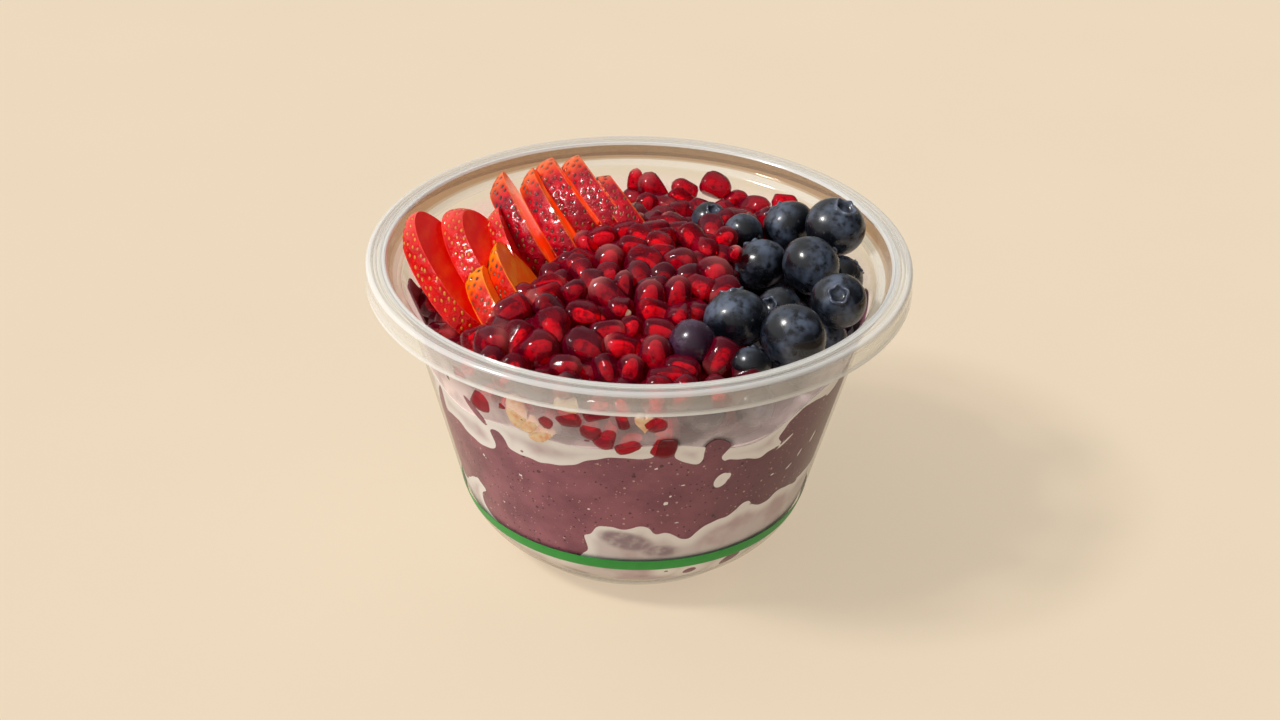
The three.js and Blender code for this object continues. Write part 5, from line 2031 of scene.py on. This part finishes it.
    def fit(self) -> None:
        """Builds the heap and puts it in place of its node."""
        self.shapes, self.kernel, along = self.variant_shapes()
        rivals = []
        for number, berry in enumerate(BERRIES, 1):
            low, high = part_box(f"blueberry_{number:02d}")
            rivals.append(((low + high) / 2 / MM, berry.radius))
        self.add_seen()
        self.add_at_wall()
        self.add_fill(rivals)
        points, faces = self.gather(self.shells, self.around, self.along)
        tone = np.repeat(self.tones, len(self.shapes[0]))
        pale = np.concatenate([smoothstep(along, 0.2, 0.5) * share for share in self.pales])
        marks = {"tone": tone, "pale": pale}
        shells = make_piece("aril_shells", points, faces, [ArilGel().material()], marks=marks)
        points, faces = self.gather(self.kernels, self.kernel_around, self.kernel_along)
        tone = np.repeat(self.tones, len(self.kernel))
        tips = smoothstep(self.kernel[:, 2], 0.0, 0.4)
        pale = np.concatenate([tips * min(1.0, share + 0.25) for share in self.pales])
        marks = {"tone": tone, "pale": pale}
        kernels = make_piece("aril_kernels", points, faces, [ArilKernel().material()], marks=marks)
        points, faces = self.core()
        # The core is a dark sheet of painted shade, seen between the seeds.
        core = make_piece("heap_core_shade", points, faces, [HeapShade().material()])
        for piece in (shells, kernels, core):
            fix_to_bowl(piece, "pomegranate", "pomegranate_heap")


class NutKind(Enum):
    """What a small pale piece looks like."""

    CHIP = "chip"
    HEART = "heart"


@dataclass(frozen=True)
class NutPiece:
    """A piece of nut: its place in the close-up, its size in millimetres, and its kind."""

    across: float
    down: float
    size: Place
    kind: NutKind
    at_wall: bool = False


NUT_PIECES = (
    NutPiece(720, 618, (4.6, 4.0, 3.4), NutKind.CHIP),
    NutPiece(745, 514, (3.0, 2.4, 2.0), NutKind.CHIP),
    NutPiece(798, 820, (5.4, 6.2, 2.2), NutKind.HEART, True),
    NutPiece(440, 787, (7.0, 10.5, 3.2), NutKind.CHIP, True),
    NutPiece(510, 846, (9.5, 6.5, 3.2), NutKind.CHIP, True),
    NutPiece(474, 818, (8.0, 7.0, 3.2), NutKind.CHIP, True),
    NutPiece(582, 768, (8.0, 6.0, 3.2), NutKind.CHIP, True),
)


@dataclass
class Nuts:
    """The pieces of nut among the fruit and against the wall."""

    pieces: tuple[NutPiece, ...] = NUT_PIECES
    seed: int = 77

    def chip(self, draw: np.random.Generator) -> tuple[np.ndarray, Faces]:
        """Builds a rough unit chip."""
        steps = np.linspace(-1, 1, 9)[1:-1]
        grid = ovals(np.sqrt(1 - steps ** 2), steps * 0.5, round_steps(12), 0.5, 0.5)
        points, faces = tube([0, 0, -0.5], grid, [0, 0, 0.5])
        for _ in range(9):
            normal = draw.normal(size=3)
            normal /= np.linalg.norm(normal)
            over = points @ normal - (0.3 + draw.random() * 0.12)
            points = points - np.maximum(over, 0)[:, None] * normal
        return points, faces

    def heart(self) -> tuple[np.ndarray, Faces]:
        """Builds a flat unit piece with two lobes above and a point below."""
        turn = round_steps(40)
        x = np.sin(turn) ** 3 * 0.5
        y = (13 * np.cos(turn) - 5 * np.cos(2 * turn) - 2 * np.cos(3 * turn) - np.cos(4 * turn)) / 32 + 0.05
        rings = [np.column_stack([-x * s, y * s, np.full(40, h)])
                 for s, h in ((0.5, -0.5), (0.92, -0.48), (1, -0.3), (1, 0.3), (0.92, 0.46), (0.5, 0.5))]
        return tube([0, 0, -0.5], np.stack(rings), [0, 0, 0.5])

    def fit(self, heap: PomegranateHeap) -> None:
        """Builds the pieces and joins them into one.

        Args:
            heap: The heap that some of them lie on.
        """
        draw = np.random.default_rng(self.seed)
        up, back = (np.asarray(CAMERA.turn @ Vector(axis)) for axis in ((0, 1, 0), (0, 0, 1)))
        all_points: list[np.ndarray] = []
        all_faces: Faces = []
        for nut in self.pieces:
            pixel = CAMERA.from_close_up(nut.across, nut.down)
            if nut.at_wall:
                middle = CAMERA.beside_wall(*pixel, nut.size[2] * 0.36 - 0.1)
            else:
                middle = CAMERA.meet(*pixel, lambda p: p.z > float(heap.height(p.x, p.y)) - 2.2)
            points, faces = self.heart() if nut.kind is NutKind.HEART else self.chip(draw)
            outward = np.array([middle.x, middle.y, 0.0])
            outward = outward / np.linalg.norm(outward) if nut.at_wall else back
            level = np.cross(up, outward)
            level /= np.linalg.norm(level)
            basis = np.column_stack([level, np.cross(outward, level), outward])
            start = sum(len(p) for p in all_points)
            all_points.append((points * np.asarray(nut.size)) @ basis.T + np.asarray(middle))
            all_faces.extend(tuple(start + k for k in face) for face in faces)
        points = np.vstack(all_points)
        piece = make_piece("nut_pieces", points, all_faces, [NutFlesh().material()], sharp_over=35)
        fix_to_bowl(piece, "pomegranate", "pomegranate_heap")


@dataclass
class Studio:
    """The pale floor and the soft light."""

    floor_size: float = 6.0
    key_strength: float = 2.35
    key_angle: float = 10.0
    key_place: Place = (-0.9, -0.24, 1.05)
    ambient: float = 0.46

    def key_light(self) -> None:
        """Adds the main light, from the upper left."""
        data = bpy.data.lights.new("key_light", "SUN")
        data.angle = math.radians(self.key_angle)
        data.energy = self.key_strength
        data.color = (1.0, 0.98, 0.95)
        light = bpy.data.objects.new("key_light", data)
        way = -Vector(self.key_place)
        turn = way.to_track_quat("-Z", "Y").to_matrix().to_4x4()
        light.matrix_world = Matrix.Translation(self.key_place) @ turn
        bpy.context.scene.collection.objects.link(light)

    def sky(self) -> None:
        """Makes soft light from all round, brighter from the left and above."""
        world = bpy.data.worlds.new("soft_room")
        world.use_nodes = True
        graph = NodeGraph(world.node_tree)
        way = graph.node("ShaderNodeTexCoord", {}).outputs["Generated"]
        parts = graph.node("ShaderNodeSeparateXYZ", {0: way}).outputs
        side = graph.node("ShaderNodeMapRange", {
            "Value": parts["X"], "From Min": 1.0, "From Max": -1.0, "To Min": 0.0, "To Max": 2.3,
        })
        rise = graph.node("ShaderNodeMapRange", {
            "Value": parts["Z"], "From Min": -0.2, "From Max": 0.9, "To Min": 0.55, "To Max": 1.1,
        })
        both = graph.math("MULTIPLY", side.outputs["Result"], rise.outputs["Result"])
        background = world.node_tree.nodes["Background"]
        background.inputs["Color"].default_value = (1.0, 0.985, 0.96, 1.0)
        world.node_tree.links.new(graph.math("MULTIPLY", both, self.ambient), background.inputs["Strength"])
        bpy.context.scene.world = world

    def build(self) -> None:
        """Makes the floor, the lights and the look of the picture."""
        half = self.floor_size / 2 / MM
        corners = [(-half, -half, 0), (half, -half, 0), (half, half, 0), (-half, half, 0)]
        floor = make_piece("floor", corners, [(0, 1, 2, 3)], [FloorPaper().material()])
        self.sky()
        self.key_light()
        bpy.context.scene.view_settings.view_transform = "Standard"
        bpy.context.scene.cycles.transparent_max_bounces = 24


def main() -> None:
    """Builds every sub-assembly in order."""
    logging.basicConfig(level=logging.INFO, format="%(name)s %(message)s")
    CAMERA.make()
    Studio().build()
    ClearBowl().fit()
    wall = WallPicture()
    floor = FORM.floor_height(0.3)
    gap = 0.1
    Layer("yoghurt_lower", "yoghurt", Cream(), lambda x, y: floor + 0 * x, LOWER_SURFACE.height).fit(wall)
    Layer(
        "acai_blend", "acai", AcaiBlendFinish(),
        lambda x, y: LOWER_SURFACE.height(x, y) + gap, UPPER_SURFACE.height,
    ).fit(wall)
    Layer(
        "yoghurt_upper", "yoghurt", Cream("yoghurt_cream_upper"),
        lambda x, y: UPPER_SURFACE.height(x, y) + gap, TOP_SURFACE.height,
    ).fit(wall)
    CreamFilm().fit(wall)
    StrawberrySlices().fit()
    Blueberries().fit()
    heap = PomegranateHeap()
    heap.fit()
    Nuts().fit(heap)


if __name__ == "__main__":
    main()
